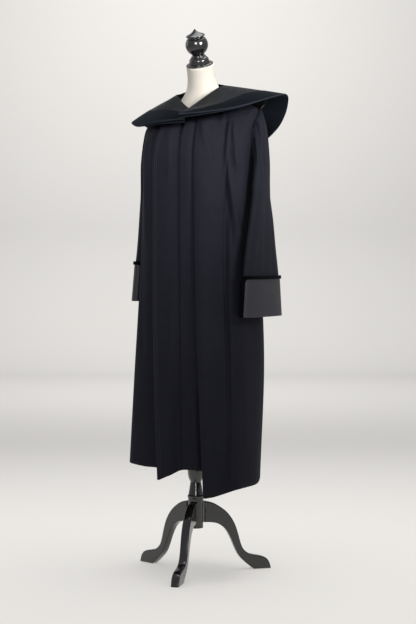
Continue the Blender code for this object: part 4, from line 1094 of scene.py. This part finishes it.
def make_leg(node, azimuth, material):
    """A flat-sawn leg: a smooth outline, given its thickness, with its edges rounded off."""
    curve = bpy.data.curves.new(node, "CURVE")
    curve.dimensions = "2D"
    curve.fill_mode = "BOTH"
    curve.bevel_depth = LEG_EDGE * CM
    curve.bevel_resolution = 3
    curve.offset = -LEG_EDGE * CM
    curve.extrude = (LEG_THICKNESS / 2 - LEG_EDGE) * CM
    outline = np.concatenate([spline(edge, spans(edge, LEG_STEPS))
                              for edge in (LEG_TOP_EDGE, LEG_UNDER_EDGE)])
    line = curve.splines.new("POLY")
    line.points.add(len(outline) - 1)
    for point, (r, h) in zip(line.points, outline):
        point.co = (r * CM, max(h, 0.0) * CM, 0, 1)
    line.use_cyclic_u = True
    drawn = bpy.data.objects.new(node, curve)
    mesh = bpy.data.meshes.new_from_object(drawn)
    bpy.data.objects.remove(drawn)
    upright = Matrix.Rotation(math.radians(90), 4, "X")
    mesh.transform(Matrix.Translation(AXIS)
                   @ Matrix.Rotation(azimuth - math.radians(90), 4, "Z") @ upright)
    mesh.name = "stand_" + node
    mesh.materials.clear()
    mesh.materials.append(material)
    mesh.shade_smooth()
    mesh.set_sharp_from_angle(angle=LEG_CORNER)
    stands_for(put_in_scene("stand_" + node, mesh), node)


def make_stand(material):
    top = Vector((0, FORM_RINGS[-1][3], FORM_RINGS[-1][0]))
    axis = Vector((0, -math.sin(NECK_TILT), math.cos(NECK_TILT)))
    make_turned("neck_cap", NECK_CAP_PROFILE, material, top + axis * SEAM_GAP, NECK_TILT)
    make_turned("finial", FINIAL_PROFILE, material,
                top - axis * FINIAL_GAP + axis * SEAM_GAP * 2, NECK_TILT)
    make_turned("pole", POLE_PROFILE, material)
    make_turned("hub", HUB_PROFILE, material)
    for k, node in enumerate(LEG_NODES):
        make_leg(node, FRONT_LEG_AZIMUTH + k * math.radians(120), material)


# --- Floor, backdrop and light ---
BACKDROP_COLOUR = (0.76, 0.74, 0.705, 1)
BACKDROP_SHADE = (0.7486, 0.7289, 0.694425, 1)
BACKDROP_DISTANCE = 7.6
BACKDROP_RADIUS, BACKDROP_STEPS = 1.2, 24
BACKDROP_HALF_WIDTH = 12.0
BACKDROP_HEIGHT = 7.0
FLOOR_START = -12.0         # in front of the object, as the camera looks


def make_backdrop():
    """A pale sweep: floor, a quarter round and a wall, seen square on by the camera."""
    bend = np.linspace(0, np.pi / 2, BACKDROP_STEPS)
    depth = np.concatenate([[FLOOR_START], BACKDROP_DISTANCE + BACKDROP_RADIUS * np.sin(bend),
                            [BACKDROP_DISTANCE + BACKDROP_RADIUS]])
    height = np.concatenate([[0], BACKDROP_RADIUS * (1 - np.cos(bend)), [BACKDROP_HEIGHT]])
    across = np.array((-BACKDROP_HALF_WIDTH, BACKDROP_HALF_WIDTH))
    forward = np.array((-math.sin(CAMERA_AZIMUTH), math.cos(CAMERA_AZIMUTH)))
    side = np.array((math.cos(CAMERA_AZIMUTH), math.sin(CAMERA_AZIMUTH)))
    ground = depth[:, None, None] * forward + across[None, :, None] * side
    points = np.concatenate([ground, np.repeat(height[:, None, None], 2, 1)], -1) / CM
    material, tree = new_material("backdrop")
    clouds = place_group(tree, CLOUDS, Vector=object_place(tree), Broad=0.6, Fine=4.0)
    set_shader(tree, Base_Color=mix_colours(tree, spread(tree, clouds["Broad"], 0.3, 0.7),
                                            BACKDROP_SHADE, BACKDROP_COLOUR),
               Roughness=0.8, Specular_IOR_Level=0.15)
    sweep = grid_piece("backdrop", points, material)
    sweep.visible_diffuse = False    # a white floor's bounce would grey the black cloth
    return sweep


LIGHTS = (
    # name, place from the axis in metres, aimed at, size, watts, spread in degrees, lights, shadow
    ("key_softbox", (0.55, -2.6, 2.15), (0, 0, 1.6), (0.8, 0.8), 2.67, 38, "object", True),
    ("right_softbox", (2.4, -1.2, 2.2), (0, 0, 1.75), (1.0, 1.0), 8.14, 38, "object", True),
    ("left_softbox", (-2.3, 0.2, 2.1), (0, 0, 1.4), (0.8, 1.4), 0.80, 80, "object", True),
    ("front_fill", (1.45, -3.4, 1.2), (0.1, 0, 0.50), (0.9, 0.9), 0.85, 34, "object", True),
    ("top_softbox", (0.2, 0.4, 3.6), (0, 0.3, 0.5), (2.2, 2.2), 40.00, 180, "all", True),
    ("sweep_light", (-0.1, 0.0, 4.6), (-0.4, 1.0, 0.0), (3.0, 2.4), 122.0, 180, "sweep", False),
    ("wall_light", (-1.9, 4.4, 4.4), (-3.3, 8.2, 1.4), (3.0, 2.0), 120.0, 150, "sweep", False),
)
WORLD_COLOUR = (0.97, 0.97, 1.0, 1)
WORLD_STRENGTH = 0.40


def make_lights(sweep):
    """Softboxes. One that lights the object or the sweep alone is linked to just those."""
    lit = {name: bpy.data.collections.new("lit_" + name) for name in ("object", "sweep")}
    for piece in bpy.context.scene.objects:
        if piece.type == "MESH":
            lit["sweep" if piece == sweep else "object"].objects.link(piece)
    for name, place, target, size, watts, spread_angle, receivers, shadow in LIGHTS:
        data = bpy.data.lights.new(name, "AREA")
        data.shape = "RECTANGLE"
        data.size, data.size_y = size
        data.energy = watts
        data.spread = math.radians(spread_angle)
        data.use_shadow = shadow
        lamp = put_in_scene(name, data)
        lamp.location = AXIS + Vector(place)
        if receivers in lit:
            lamp.light_linking.receiver_collection = lit[receivers]
        aim = AXIS + Vector(target) - lamp.location
        lamp.rotation_euler = aim.to_track_quat("-Z", "Y").to_euler()
    world = bpy.data.worlds.new("studio")
    world.use_nodes = True
    set_inputs(world.node_tree, world.node_tree.nodes["Background"],
               {"Color": WORLD_COLOUR, "Strength": WORLD_STRENGTH})
    bpy.context.scene.world = world
    bpy.context.scene.view_settings.view_transform = "Standard"


def main():
    make_camera()
    wool, front_wool = make_wool("wool"), make_wool("front_wool", with_front_lines=True)
    collar_silk = make_silk("collar_silk", SILK_DARK, SILK_LIGHT, 0.50, 0.07, 2200.0)
    cuff_satin = make_silk("cuff_satin", SATIN_DARK, SATIN_LIGHT, 0.46, 0.22, 1800.0)
    # the collar's velvet carries the painted fold highlight and the painted underside light
    velvet = make_velvet("velvet", VELVET_DARK, VELVET_LIGHT, turned=True)
    edging = make_velvet("velvet_edging", EDGING_DARK, EDGING_LIGHT)
    make_body(wool, front_wool)
    for side in ("left", "right"):
        make_sleeve(side, wool)
        make_cuff(side, cuff_satin, edging)
    make_collar(collar_silk, velvet)
    make_form(make_jersey())
    make_stand(make_lacquer())
    make_lights(make_backdrop())


main()
